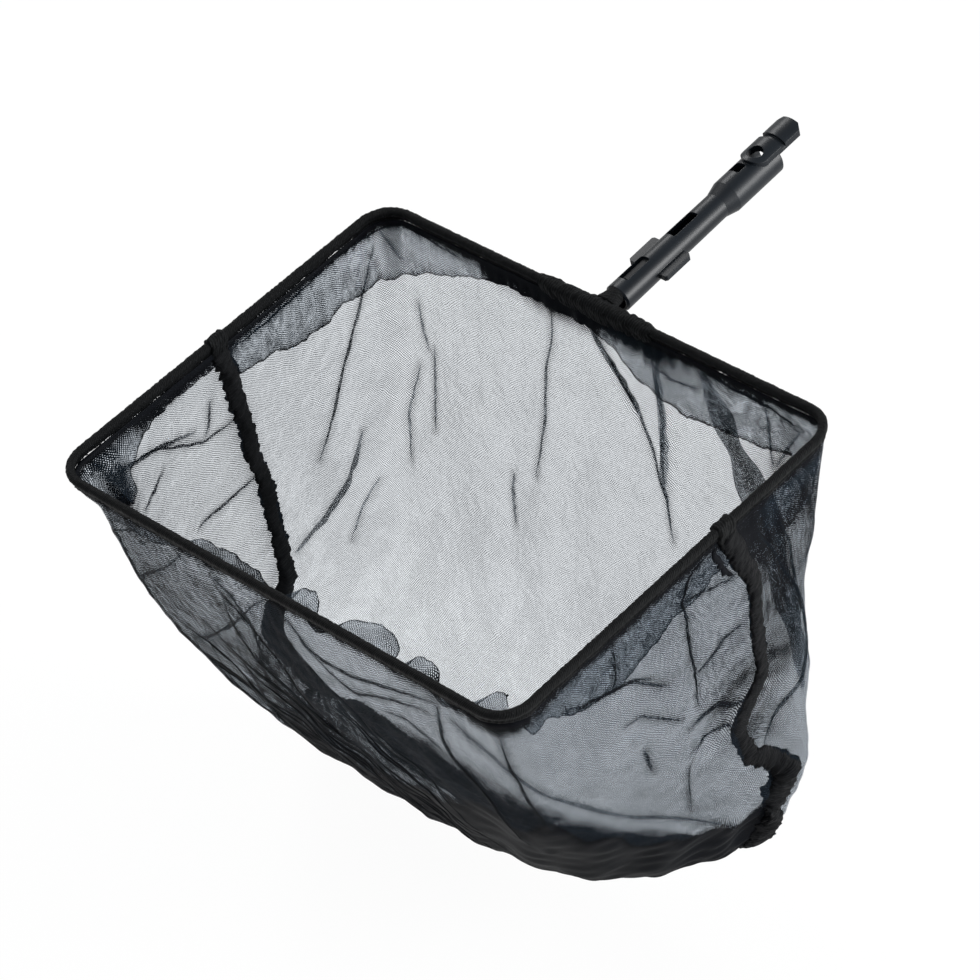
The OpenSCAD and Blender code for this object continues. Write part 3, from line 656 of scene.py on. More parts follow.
def knitted_nylon(name, colour, shade_colour, veil, cell, open_share):
    """Warp-knitted nylon mesh: dark monofilament, so the holes show what is behind and the threads gleam.

    Holes are diamonds in staggered rows, cell wide and 0.8 cell high: a place is thread where the smaller of
    |sin(x + y)| and |sin(x - y)| is under the thread's width, where x grows by pi in a hole's width and y in
    its height. The width grows with the point value "bunch", because a bunched knit shows several threads
    where a flat one shows one. The same value paints shade into the threads: bunched threads shade each
    other, so their colour goes over to shade_colour, which is painted shade. Light that passes a hole is
    tinged by veil, because the monofilament's edges let a little blue through. Round threads mirror nothing
    as a sheet would, so the gloss is very low.
    """
    material, tree = new_material(name)
    place = add_node(tree, "UVMap", uv_map="UVMap")
    wander = add_node(tree, "TexNoise", {"Vector": place, "Scale": 0.2 / cell, "Detail": 2.0}).outputs
    drift = add_node(tree, "VectorMath", {0: wander["Color"], 1: (0.5, 0.5, 0.5)}, operation="SUBTRACT")
    moved = add_node(tree, "VectorMath", {0: drift, 1: (1.4 * cell,) * 3, 2: place}, operation="MULTIPLY_ADD")
    axes = add_node(tree, "SeparateXYZ", {0: moved}).outputs
    x = add_node(tree, "Math", {0: axes[0], 1: math.pi / cell}, operation="MULTIPLY")
    y = add_node(tree, "Math", {0: axes[1], 1: math.pi / (0.8 * cell)}, operation="MULTIPLY")
    gap = None
    for way in ("ADD", "SUBTRACT"):
        turn = add_node(tree, "Math", {0: x, 1: y}, operation=way)
        wave = add_node(tree, "Math", {0: turn}, operation="SINE")
        bare = add_node(tree, "Math", {0: wave}, operation="ABSOLUTE")
        gap = bare if gap is None else add_node(tree, "Math", {0: gap, 1: bare}, operation="MINIMUM")
    bunch = add_node(tree, "Attribute", attribute_name="bunch").outputs["Fac"]
    mottle = add_node(tree, "TexNoise", {"Vector": place, "Scale": 0.9 / cell, "Detail": 2.0})
    thin = add_node(tree, "MapRange", {
        "Value": mottle, "To Min": 0.95 - open_share, "To Max": 1.05 - open_share})
    width = add_node(tree, "Math", {0: bunch, 1: 0.95, 2: thin}, operation="MULTIPLY_ADD")
    cover = add_node(tree, "Math", {0: width, 1: gap}, operation="SUBTRACT")
    alpha = add_node(tree, "MapRange", {"Value": cover, "From Min": -0.08, "From Max": 0.08},
                     interpolation_type="SMOOTHSTEP")
    # painted shade: the threads' colour goes from the knit's own to the shade colour as the bunch value grows
    bunch_shade_tint = add_node(tree, "ValToRGB", {"Fac": bunch})
    set_ramp(bunch_shade_tint, (0.05, linear(colour)), (0.32, linear(shade_colour)))
    bump = add_node(tree, "Bump", {"Height": gap, "Strength": 0.5, "Distance": 0.1 * MM})
    thread = add_node(tree, "BsdfPrincipled", {
        "Base Color": bunch_shade_tint, "Normal": bump, "Roughness": 0.6, "IOR": 1.53, "Specular IOR Level": 0.04})
    hole = add_node(tree, "BsdfTransparent", {"Color": linear(veil)})
    mix = add_node(tree, "MixShader", {0: alpha, 1: hole, 2: thread})
    add_node(tree, "OutputMaterial", {"Surface": mix})
    return material


def sewn_cloth(name, colour, ridge, rough, fleck):
    """Layers of black knit pressed together or bound with spun thread: nearly matt, with fine ridges.

    Ridges run across the piece's length, one every ridge metres of its UV, bent by noise 1.7 mm across, and
    between the threads the cloth is fleck times lighter.
    """
    material, tree = new_material(name)
    place = add_node(tree, "UVMap", uv_map="UVMap")
    noise = add_node(tree, "TexNoise", {"Vector": place, "Scale": 0.6 / MM, "Detail": 4.0})
    axes = add_node(tree, "SeparateXYZ", {0: place}).outputs
    slant = add_node(tree, "Math", {0: axes[0], 1: 0.35, 2: axes[1]}, operation="MULTIPLY_ADD")
    bent = add_node(tree, "Math", {0: noise, 1: 0.9 * ridge, 2: slant}, operation="MULTIPLY_ADD")
    turn = add_node(tree, "Math", {0: bent, 1: 2 * math.pi / ridge}, operation="MULTIPLY")
    sine = add_node(tree, "Math", {0: turn}, operation="SINE")
    wave = add_node(tree, "MapRange", {"Value": sine, "From Min": -1.0})
    grain = add_node(tree, "TexVoronoi", {"Vector": place, "Scale": 1.4 / MM}).outputs["Distance"]
    height = add_node(tree, "Math", {0: grain, 1: 0.8, 2: wave}, operation="MULTIPLY_ADD")
    light = add_node(tree, "Math", {0: grain, 1: wave}, operation="MULTIPLY")
    ramp = add_node(tree, "ValToRGB", {"Fac": light})
    set_ramp(ramp, (0.25, linear(colour)), (0.62, shade(linear(colour), fleck)))
    bump = add_node(tree, "Bump", {"Height": height, "Strength": 0.8, "Distance": 0.25 * MM})
    gloss = add_node(tree, "MapRange", {"Value": noise, "To Min": rough - 0.1, "To Max": rough + 0.1})
    layers = add_node(tree, "BsdfPrincipled", {
        "Base Color": ramp, "Roughness": gloss, "Normal": bump, "IOR": 1.5, "Specular IOR Level": 0.1})
    add_node(tree, "OutputMaterial", {"Surface": layers})
    return material


def moulded_plastic(name, colour, rough, soft_edge):
    """Injection-moulded plastic from a lightly spark-eroded mould: satin, with a faint flow mark along it.

    The grain is 0.7 mm across and 20 microns high. A Bevel node rounds the sharp modelled edges to soft_edge,
    and the edge catches the light as a used one does.
    """
    material, tree = new_material(name)
    place = add_node(tree, "TexCoord").outputs["Object"]
    grain = add_node(tree, "TexNoise", {"Vector": place, "Scale": 1 / (0.7 * MM), "Detail": 3.0})
    stretch = add_node(tree, "Mapping", {"Vector": place, "Scale": (1, 0.12, 1)})
    flow = add_node(tree, "TexNoise", {"Vector": stretch, "Scale": 1 / (6 * MM), "Detail": 4.0})
    ramp = add_node(tree, "ValToRGB", {"Fac": flow})
    set_ramp(ramp, (0.3, shade(linear(colour), 0.8)), (0.72, shade(linear(colour), 1.25)))
    edge = add_node(tree, "Bevel", {"Radius": soft_edge}, samples=6)
    bump = add_node(tree, "Bump", {"Height": grain, "Normal": edge, "Strength": 0.35, "Distance": 0.02 * MM})
    gloss = add_node(tree, "MapRange", {"Value": flow, "To Min": rough - 0.08, "To Max": rough + 0.08})
    plastic = add_node(tree, "BsdfPrincipled", {
        "Base Color": ramp, "Roughness": gloss, "Normal": bump, "IOR": 1.53, "Specular IOR Level": 0.22})
    add_node(tree, "OutputMaterial", {"Surface": plastic})
    return material


def drawn_steel(name, colour):
    """Drawn low-carbon steel wire: grey metal with fine lines 0.3 mm across and twenty times as long."""
    material, tree = new_material(name)
    place = add_node(tree, "TexCoord").outputs["Object"]
    stretch = add_node(tree, "Mapping", {"Vector": place, "Scale": (1, 0.05, 1)})
    lines = add_node(tree, "TexNoise", {"Vector": stretch, "Scale": 1 / (0.3 * MM), "Detail": 3.0})
    ramp = add_node(tree, "ValToRGB", {"Fac": lines})
    set_ramp(ramp, (0.0, shade(linear(colour), 0.75)), (1.0, shade(linear(colour), 1.25)))
    gloss = add_node(tree, "MapRange", {"Value": lines, "To Min": 0.25, "To Max": 0.45})
    steel = add_node(tree, "BsdfPrincipled", {"Base Color": ramp, "Roughness": gloss, "Metallic": 1.0})
    add_node(tree, "OutputMaterial", {"Surface": steel})
    return material


def studio_floor(name, colour):
    """Matt white studio paper: near white to the camera, with a twentieth of its shaded colour left."""
    material, tree = new_material(name)
    place = add_node(tree, "TexCoord").outputs["Object"]
    fibre = add_node(tree, "TexNoise", {"Vector": place, "Scale": 1 / (4 * MM), "Detail": 3.0})
    ramp = add_node(tree, "ValToRGB", {"Fac": fibre})
    set_ramp(ramp, (0.0, linear(colour)), (1.0, linear("#ffffff")))
    paper = add_node(tree, "BsdfDiffuse", {"Color": ramp})
    glow = add_node(tree, "Emission", {"Strength": 1.0})
    rays = add_node(tree, "LightPath").outputs
    bent = add_node(tree, "Math", {0: rays["Is Glossy Ray"], 1: rays["Is Transmission Ray"]},
                    operation="MAXIMUM")
    seen = add_node(tree, "Math", {0: rays["Is Camera Ray"], 1: bent}, operation="MAXIMUM")
    part = add_node(tree, "Math", {0: seen, 1: 0.95}, operation="MULTIPLY")
    mix = add_node(tree, "MixShader", {0: part, 1: paper, 2: glow})
    add_node(tree, "OutputMaterial", {"Surface": mix})
    return material


def shared_material(name, maker, *args):
    """The material of that name, made once."""
    return bpy.data.materials.get(name) or maker(name, *args)


def put_on(node_name, name, maker, *args):
    """Gives a CAD node its finish."""
    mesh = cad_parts[node_name].data
    mesh.materials.clear()
    mesh.materials.append(shared_material(name, maker, *args))


def knit(scene):
    """The bag's mesh, with holes 0.8 open where it lies flat."""
    colours = scene.fish_net_colours
    return shared_material("Knitted nylon mesh", knitted_nylon, colours.knit, colours.bunched_knit_shade,
                           colours.veil, scene.fish_net_bag.knit_cell, 0.8)


def cloth(scene, name):
    """One of the sewn cloths."""
    colour, ridge, rough, fleck = SEWN_CLOTHS[name]
    return shared_material(name, sewn_cloth, getattr(scene.fish_net_colours, colour), ridge, rough, fleck)


# Operators

class FISHNET_OT_stage(bpy.types.Operator):
    """Sets up the camera, the floor, the white surround and the soft lamps"""

    bl_idname = "fishnet.stage"
    bl_label = "Camera and stage"

    def execute(self, context):
        scene = context.scene
        data = bpy.data.cameras.new("Camera")
        data.sensor_width, data.lens = CAMERA_SENSOR, CAMERA_LENS
        data.clip_start, data.clip_end = 0.05, 20.0
        camera = bpy.data.objects.new("Camera", data)
        turn = Matrix((CAMERA_RIGHT, CAMERA_UP, CAMERA_BACK)).transposed().to_4x4()
        camera.matrix_world = Matrix.Translation(CAMERA_PLACE) @ turn
        scene.collection.objects.link(camera)
        scene.camera = camera
        scene.view_settings.view_transform = "Standard"

        low = cad_box[0][2] - FLOOR_GAP
        corners = [(x * FLOOR_HALF, y * FLOOR_HALF, low) for x, y in ((-1, -1), (1, -1), (1, 1), (-1, 1))]
        mesh = bpy.data.meshes.new("Floor")
        mesh.from_pydata(corners, [], [[0, 1, 2, 3]])
        mesh.materials.append(studio_floor("Studio paper", scene.fish_net_colours.floor))
        floor = bpy.data.objects.new("Floor", mesh)
        scene.collection.objects.link(floor)

        world = bpy.data.worlds.new("Studio")
        world.use_nodes = True
        tree = world.node_tree
        tree.nodes.clear()
        rays = add_node(tree, "LightPath").outputs
        seen = add_node(tree, "Math", {0: rays["Is Camera Ray"], 1: rays["Is Transmission Ray"]},
                        operation="MAXIMUM")
        soft = add_node(tree, "Background", {"Color": (0.96, 0.98, 1.0, 1), "Strength": 0.5})
        white = add_node(tree, "Background", {"Color": (1, 1, 1, 1), "Strength": 1.0})
        mix = add_node(tree, "MixShader", {0: seen, 1: soft, 2: white})
        add_node(tree, "OutputWorld", {"Surface": mix})
        scene.world = world

        for name, (place, size, power) in LAMPS.items():
            lamp = bpy.data.lights.new(name, "AREA")
            lamp.shape, lamp.size, lamp.energy = "SQUARE", size, power
            holder = bpy.data.objects.new(name, lamp)
            way = LAMP_AIM - np.array(place)
            z = -way / np.linalg.norm(way)
            x = unit(np.cross(UP, z))
            holder.matrix_world = (Matrix.Translation(place)
                                   @ Matrix((x, np.cross(z, x), z)).transposed().to_4x4())
            scene.collection.objects.link(holder)
        return {"FINISHED"}


class FISHNET_OT_connector(bpy.types.Operator):
    """Gives the moulded connector and the plug inside it their plastics"""

    bl_idname = "fishnet.connector"
    bl_label = "Connector"

    def execute(self, context):
        colours = context.scene.fish_net_colours
        put_on("connector", "Moulded ABS", moulded_plastic, colours.plastic, 0.42, 0.35 * MM)
        put_on("stem_plug", "Moulded rubber", moulded_plastic, colours.rubber, 0.6, 0.15 * MM)
        return {"FINISHED"}


class FISHNET_OT_wire(bpy.types.Operator):
    """Gives the wire its drawn steel and its dipped plastic coating"""

    bl_idname = "fishnet.wire"
    bl_label = "Wire and coating"

    def execute(self, context):
        colours = context.scene.fish_net_colours
        put_on("frame_wire", "Drawn steel", drawn_steel, colours.steel)
        put_on("wire_coating", "Dipped vinyl", moulded_plastic, colours.coating, 0.32, 0.1 * MM)
        return {"FINISHED"}


def loop_frame(bag, t):
    """The wire's centre at share t round the mouth, and the directions out of the loop and along it there."""
    level = lambda places: np.pad(places, ((0, 0), (0, 1)))
    step = 2e-4
    ahead = unit(bag.mouth(t + step) - bag.mouth(t - step))
    out = level(np.stack([ahead[:, 1], -ahead[:, 0]], -1))
    place = level(bag.mouth(t)) + LOOP_CENTRE
    flip = np.sign((out * (place - LOOP_CENTRE)).sum(-1, keepdims=True))
    return place, out * np.where(flip == 0, 1, flip), level(ahead)


def hem_outline(n, radius, drop, fold):
    """Outline of a rolled hem, seen along the wire: an arc over the wire, then down to a rounded fold.

    Half-width at height z: radius cos(asin(z / radius)) down to where the roll closes, then eased by a smooth
    step to half the fold, which ends in a half circle.
    """
    a = np.linspace(0, 1, n, endpoint=False) * 2 * math.pi
    x, z = np.sin(a), np.cos(a)
    z = np.where(z > 0, z * radius, z * drop)
    body = np.sqrt(np.clip(1 - (np.clip(z, -radius, radius) / radius) ** 2, 0, 1)) * radius
    neck = fold / 2 + (radius - fold / 2) * (1 - smooth_step(-z / (1.5 * radius)))
    toe = np.sqrt(np.clip(1 - np.clip((-z - drop + fold) / fold, 0, 1) ** 2, 0, 1))
    width = np.where(z > 0, body, neck * toe)
    return np.sign(x) * np.where(np.abs(x) < 1e-9, 0, width), z


def rolled_hem(scene, side):
    """A hem: its outline carried round half of the wire, puckered by the stitches that close it.

    The roll swells between stitches by 0.09 mm sin^2, it is crushed by ripples of 1.6 to 5 mm, and its fold
    sways and drops by ripples of 7 to 30 mm.
    """
    loop = scene.fish_net_loop
    bag = Bag(scene)
    gap, neck = 0.25 * MM / bag.length, HEM_NECK_GAP / bag.length
    spans = [(bag.left + gap, bag.right - gap)] if side == "front" else [
        (bag.right + gap, BACK_MIDDLE - neck), (BACK_MIDDLE + neck, 1 + bag.left - gap)]
    x, z = hem_outline(HEM_SIDES, loop.hem_radius, loop.hem_drop - 0.15 * MM, loop.fold_thickness)
    share = np.arange(HEM_SIDES) / HEM_SIDES
    low = np.clip(-z / loop.hem_drop, 0, 1)
    tubes = []
    for a, b in spans:
        t = np.linspace(a, b, int((b - a) * bag.length / HEM_STEP))
        place, out, _ = loop_frame(bag, t)
        s = t * bag.length
        pucker = 0.09 * MM * np.sin(math.pi * s / loop.stitch_pitch)[:, None] ** 2
        crush = ripples(s[:, None], share[None] * 12 * MM, 14, 1.6 * MM, 5 * MM, 11) * 0.11 * MM
        sway = ripples(s, s * 0, 8, 9 * MM, 30 * MM, 12)[:, None] * 0.35 * MM * low[None] ** 2
        drop = ripples(s, s * 0, 8, 7 * MM, 26 * MM, 13)[:, None] * 0.3 * MM * low[None]
        wide = x[None] + np.sign(x)[None] * (pucker + crush) + sway
        high = z[None] + np.where(z > 0, 1, 0)[None] * (pucker + crush) + drop
        tubes.append(tube_mesh(carry(place, out, UP, wide, high), s, 14 * MM))
    piece = make_piece(f"{side}_hem_roll", join_tubes(tubes), cloth(scene, "Folded knit"))
    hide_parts(f"{side}_hem")


class FISHNET_OT_hems(bpy.types.Operator):
    """Makes the mesh rolled and folded round the wire, one hem for each panel"""

    bl_idname = "fishnet.hems"
    bl_label = "Hems"

    def execute(self, context):
        rolled_hem(context.scene, "front")
        rolled_hem(context.scene, "back")
        return {"FINISHED"}


def capsules(centres, along, width_way, lengths, radius):
    """Short stitches, all at once: six-sided tubes of five stations, thinned to the ends by sqrt(1 - s^4)."""
    s, a = np.array([-1, -0.75, 0, 0.75, 1.0]), turns(6)
    up = np.cross(along, width_way)
    thin = np.sqrt(np.clip(1 - s ** 4, 0.04, 1))
    ring = (np.cos(a)[None, None, :, None] * width_way[:, None, None]
            + np.sin(a)[None, None, :, None] * up[:, None, None])
    reach = (s[None, :] * lengths[:, None] / 2)[..., None, None]
    points = (centres[:, None, None] + reach * along[:, None, None]
              + ring * (radius * thin)[None, :, None, None])
    n, sides, each = len(centres), len(a), len(s) * len(a)
    one = grid_faces(len(s), sides, closed=True)
    quads = (one[None] + (np.arange(n) * each)[:, None, None]).reshape(-1, 4)
    first = [[i * each + j for j in range(sides)] for i in range(n)]
    last = [[(i + 1) * each - sides + j for j in range(sides)] for i in range(n)]
    if enclosed(points[0].reshape(-1, 3), one) < 0:
        quads, last = quads[:, ::-1], [f[::-1] for f in last]
    else:
        first = [f[::-1] for f in first]
    corner = np.tile(np.array([[0, 0], [0.4, 0], [0.4, 1], [0, 1]]) * MM, (len(quads), 1))
    uv = np.concatenate([corner, np.zeros((2 * sides * n, 2))])
    return points.reshape(-1, 3), quads.tolist() + first + last, uv


def stitch_rows(scene, side):
    """The stitches of a hem: one every pitch on both faces of the fold, leaning and a little off the row."""
    loop = scene.fish_net_loop
    bag = Bag(scene)
    a, b = (bag.left, bag.right) if side == "front" else (bag.right, 1 + bag.left)
    count = int((b - a) * bag.length / loop.stitch_pitch) - 1
    t = a + (np.arange(count) + 0.9) * loop.stitch_pitch / bag.length
    if side == "back":
        t = t[np.abs(t - BACK_MIDDLE) * bag.length > STITCH_NECK_GAP]
    rng = np.random.default_rng(21)
    place, out, ahead = loop_frame(bag, t)
    parts = []
    for face in (-1, 1):
        lean = rng.normal(0.25, 0.12, len(t))[:, None]
        off = rng.normal(0, 0.18 * MM, len(t))[:, None]
        way = unit(ahead + lean * UP)
        centre = place + out * face * (loop.fold_thickness / 2 + 0.12 * MM) - UP * (loop.stitch_drop + off)
        lengths = rng.normal(STITCH_LENGTH, 0.15 * MM, len(t))
        parts.append(capsules(centre, way, unit(np.cross(way, out)), lengths, loop.stitch_radius))
    thread = cloth(scene, "Spun polyester thread")
    piece = make_piece(f"{side}_hem_stitches", join_tubes(parts), thread)
    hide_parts(f"{side}_hem_thread")


class FISHNET_OT_stitches(bpy.types.Operator):
    """Makes the separate stitches along both hems"""

    bl_idname = "fishnet.stitches"
    bl_label = "Hem stitches"

    def execute(self, context):
        stitch_rows(context.scene, "front")
        stitch_rows(context.scene, "back")
        return {"FINISHED"}


def bound_mesh(scene, name, t_middle, length, node, seed, pleats):
    """Mesh gathered over the hem and bound: a saddle tube of uneven radius with pleats across it.

    Its radius is 2.9 mm, plus 0.45 mm |sin| of the pleats, plus ripples of 3 to 9 mm, and it thins to the
    hem at both ends by sqrt(sin). A long one is a fifth fuller in the middle by a bell curve.
    """
    bag = Bag(scene)
    q = np.linspace(0, 1, int(length / WRAP_STEP))
    place, out, _ = loop_frame(bag, t_middle + (q - 0.5) * length / bag.length)
    x, z = hem_outline(WRAP_SIDES, WRAP_RADIUS * MM, WRAP_DROP * MM, WRAP_FOLD * MM)
    s = q * length
    ends = np.clip(np.sin(math.pi * q) * 3.2, 0, 1) ** 0.5
    share = np.arange(WRAP_SIDES) / WRAP_SIDES
    around = share[None] * 15 * MM
    skew = s[:, None] + 2.5 * MM * np.sin(2 * math.pi * share)[None]
    fold = np.abs(np.sin(math.pi * skew / (length / pleats)
                         + 3.2 * ripples(s[:, None], around, 6, 6 * MM, 20 * MM, seed))) ** 0.7
    lump = ripples(s[:, None], around, 10, 3 * MM, 9 * MM, seed + 1)
    full = 0.2 * np.exp(-((q - 0.5) / 0.2) ** 2)[:, None] if length > 20 * MM else 0
    grow = 1 + full + (0.45 * fold + 0.34 * lump - 0.1) / WRAP_RADIUS
    scale = (0.72 + 0.28 * ends[:, None]) * np.where(ends[:, None] > 0, grow, 1)
    shape = tube_mesh(carry(place, out, UP, x[None] * scale, z[None] * scale), s, 16 * MM)
    piece = make_piece(name, shape, cloth(scene, "Bound knit"))
    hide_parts(node)


def neck_bundle(scene):
    """The bundle at the neck: wide at the bar, and round where it goes 3 mm into the connector's mouth.

    It is an oval about the neck's box, swollen by 1.8 to 0.1 mm sideways and 1.4 to 1.7 mm upwards, with 18
    pleats along it and ripples of 2 to 7 mm.
    """
    low, high = (np.array(c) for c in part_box("neck_wrap"))
    q, a = np.linspace(0, 1, NECK_STATIONS), turns(NECK_SIDES)
    half_w, half_h = (high[0] - low[0]) / 2, (high[2] - low[2]) / 2
    centre = (low + high) / 2
    high[1] += NECK_TUCK
    pleats = np.abs(np.sin(9 * a + 2.2)) ** 0.6 * 0.5 + ripples(
        a[None] * 3 * MM, q[:, None] * 12 * MM, 8, 2 * MM, 7 * MM, 61) * 0.5
    wide = (half_w + (1.8 - 1.7 * smooth_step(q / 0.5))[:, None] * MM) * np.cos(a)[None] * (1 + 0.07 * pleats)
    tall = (half_h + (1.4 + 0.3 * smooth_step(q / 0.6))[:, None] * MM) * np.sin(a)[None] * (1 + 0.09 * pleats)
    y = low[1] + (high[1] - low[1]) * q
    sections = np.stack([centre[0] + wide, np.repeat(y[:, None], NECK_SIDES, 1), centre[2] + tall], -1)
    shape = tube_mesh(sections, y - y[0], 34 * MM)
    neck = make_piece("neck_bundle", shape, cloth(scene, "Bound knit"))
    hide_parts("neck_wrap")


class FISHNET_OT_wraps(bpy.types.Operator):
    """Makes the gathered mesh bound over the back bar, at the neck and where the side seams meet the hem"""

    bl_idname = "fishnet.wraps"
    bl_label = "Bound mesh"

    def execute(self, context):
        scene = context.scene
        bag = Bag(scene)
        middle = BACK_MIDDLE + 3 * MM / bag.length
        bound_mesh(scene, "back_bar_gather", middle, BAR_GATHER, "back_bar_wrap", 31, 12)
        bound_mesh(scene, "left_seam_binding", bag.left, SEAM_BINDING, "left_seam_wrap", 41, 3)
        bound_mesh(scene, "right_seam_binding", bag.right, SEAM_BINDING, "right_seam_wrap", 51, 3)
        neck_bundle(scene)
        return {"FINISHED"}


def slack_folds(scene, t, v):
    """Height of the slack folds, flat at the mouth, the seams and the bottom.

    Two sets of sine waves that lean opposite ways: one of a fold pitch that turns 1.8 times on its way down,
    one 0.45 times as close that turns back 4.5 times. Each end rises by a smooth step.
    """
    b = scene.fish_net_bag
    bag = Bag(scene)
    t = bag.from_left(t)
    first = np.where(t <= bag.right, bag.left, bag.right)
    last = np.where(t <= bag.right, bag.right, 1 + bag.left)
    off_seam = np.minimum(t - first, last - t) * bag.length
    turn = 2 * math.pi * t * bag.length / b.fold_pitch
    rise = smooth_step(v / 0.1 - 1) * smooth_step((1 - v) / 0.12) * smooth_step(off_seam / b.fold_clear)
    return b.fold_reach * rise * (np.sin(turn + 2 * math.pi * 1.8 * v)
                                  + np.sin(0.45 * turn - 2 * math.pi * 4.5 * v)) / 2


def panel_surface(scene, side, u, v, pleats=True):
    """Places of a panel, which are the bag's surface moved along its normal by slack, and that normal.

    Slack is the slack folds plus ripples of 8 to 24 mm that grow towards the bottom and fade to nothing at
    the mouth, the seams and the bottom. Gathers of 4.5 to 9 mm stand 0.6 mm high under the hem and fade in
    20 mm. Each pleat lifts a ridge of the shape exp(-(distance / 1.9 width)^2), half its width high, or sinks
    one if it is the first of three. A width over 2 mm counts as 2 mm. Under the loop's left corner the front
    panel is drawn 5.5 mm inwards by its bunched allowance, and 2.5 mm more further down.
    """
    bag = Bag(scene)
    t = bag.panel_share(side, u, v)
    base = bag.point(t, v)
    out = bag.outward(t, v)
    s, d = u * bag.width(side), v * ROUGH_DEPTH
    edge = smooth_step(np.minimum(u, 1 - u) / 0.05) * smooth_step(v / 0.12) * smooth_step((1 - v) / 0.06)
    seed = 71 if side == "front" else 91
    fine = ripples(s * 0.45, d, 16, 8 * MM, 24 * MM, seed + 1) * (0.35 + 0.5 * v ** 2) * MM
    gather = (ripples(s, d * 0.05, 10, 4.5 * MM, 9 * MM, seed + 3) * 0.6 * MM
              * np.exp(-d / (20 * MM)) * smooth_step(v / 0.01))
    move = slack_folds(scene, t, v) + fine * edge + gather
    if side == "front":
        move = move - (5.5 * MM * np.exp(-((u - 0.17) / 0.05) ** 2)
                       * smooth_step(v / 0.015) * (1 - smooth_step((v - 0.03) / 0.14))
                       + 2.5 * MM * np.exp(-((u - 0.19) / 0.09) ** 2)
                       * smooth_step(v / 0.03) * (1 - smooth_step((v - 0.45) / 0.25)))
    if pleats:
        lift = np.zeros_like(move)
        for i, (line, width, _) in enumerate(PLEATS[side]):
            reach = min(width, 2.0) * MM
            ridge = np.exp(-(distance_to_line(base, bag.path(side, line, 24)) / (1.9 * reach)) ** 2)
            lift += (1 if i % 3 else -1) * 0.5 * reach * ridge
        move = move + lift * edge
    return base + out * move[..., None], out


def pleat_lines(side):
    """A panel's pleats, and for the front the 34 streaks into which its left side is drawn.

    A streak starts at a seeded place and runs down and to the right, at the slope of the slack there.
    """
    if side == "back":
        return PLEATS[side]
    rng = np.random.default_rng(503)
    streaks = []
    for _ in range(34):
        u, v, run = rng.uniform(0.17, 0.5), rng.uniform(0.1, 0.5), rng.uniform(0.5, 1.15)
        line = [(u, v)]
        for across, down in ((0.05, 0.05), (0.045, 0.08), (0.035, 0.1), (0.03, 0.12)):
            u, v = u + across * run * rng.uniform(0.7, 1.3), v + down * run * rng.uniform(0.7, 1.3)
            line.append((u, min(v, 0.93)))
        streaks.append((line, rng.uniform(0.8, 1.7), rng.uniform(0.55, 1.0)))
    return PLEATS[side] + streaks


def bunch_and_shade_map(side, u, v):
    """How closely the knit is bunched, 0 to 1, which also sets its painted shade: soft patches, more along
    the bottom, the hem and the seams.

    Below the slack edge the front panel's knit lies in close streaks, drawn out six times as long as wide.
    The back panel is stretched open below its middle.
    """
    total = (0.03 + 0.5 * smooth_step((v - 0.9) / 0.1) + 0.25 * np.exp(-np.minimum(u, 1 - u) / 0.008)
             + 0.5 * np.exp(-(v / 0.005) ** 2))
    if side == "back":
        total = total - 0.06 * smooth_step((v - 0.3) / 0.3) * smooth_step((0.85 - u) / 0.2)
    for cu, cv, ru, rv, amount in BUNCHES_AND_SHADE[side]:
        total = total + amount * np.exp(-(((u - cu) / ru) ** 2 + ((v - cv) / rv) ** 2) ** 1.5)
    s, d = u * ROUGH_WIDTH, v * ROUGH_DEPTH
    total = total * (1 + 0.4 * ripples(s * 0.5, d, 18, 7 * MM, 26 * MM, 5))
    if side == "front":
        past = v - np.interp(u, *SLACK_EDGE.T) - 0.02 * ripples(s, d, 10, 12 * MM, 40 * MM, 7)
        streak = ripples(s / 6, d, 22, 2.5 * MM, 8 * MM, 9)
        total = total + smooth_step(past / 0.055) * (0.42 + 0.5 * smooth_step((u - 0.4) / 0.2) + 0.3 * streak)
    return np.clip(total, -0.04, 0.96)


def pleat_shade(scene, side, u, v):
    """Painted shade beside the pleats, as knit that lies closer there: 0.16 on each line, fading over 2 mm.
    """
    bag = Bag(scene)
    base = bag.point(bag.panel_share(side, u, v), v)
    nearest = np.full(u.shape, np.inf)
    for line, _, _ in PLEATS[side]:
        nearest = np.minimum(nearest, distance_to_line(base, bag.path(side, line, 12)))
    return 0.16 * np.exp(-(nearest / (2 * MM)) ** 2)


def hang_panel(scene, side):
    """A panel of the bag: its surface as a sheet, with the knit's UV measured along the cloth."""
    columns, rows = PANEL_GRID
    u, v = np.meshgrid(np.linspace(SEAM_INSET, 1 - SEAM_INSET, columns), np.linspace(0, 1, rows) ** 1.05)
    points, _ = panel_surface(scene, side, u, v)
    length = Bag(scene).width(side)
    steps = np.linalg.norm(np.diff(points, axis=0), axis=-1)
    down = np.concatenate([np.zeros((1, columns)), np.cumsum(steps, 0)])
    uv = np.stack([u * length, down.mean(1, keepdims=True) + 0 * u], -1)
    # closeness of the knit with its painted shade, plus the painted shade beside the pleats
    bunch = np.clip(bunch_and_shade_map(side, u, v) + pleat_shade(scene, side, u, v), -0.04, 0.96)
    piece = sheet_piece(scene, f"{side}_panel_cloth", points, uv, bunch)
    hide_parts(f"{side}_panel")


class FISHNET_OT_panels(bpy.types.Operator):
    """Makes the front and back panels of knitted mesh, slack, gathered and pleated"""

    bl_idname = "fishnet.panels"
    bl_label = "Mesh panels"

    def execute(self, context):
        hang_panel(context.scene, "front")
        hang_panel(context.scene, "back")
        return {"FINISHED"}


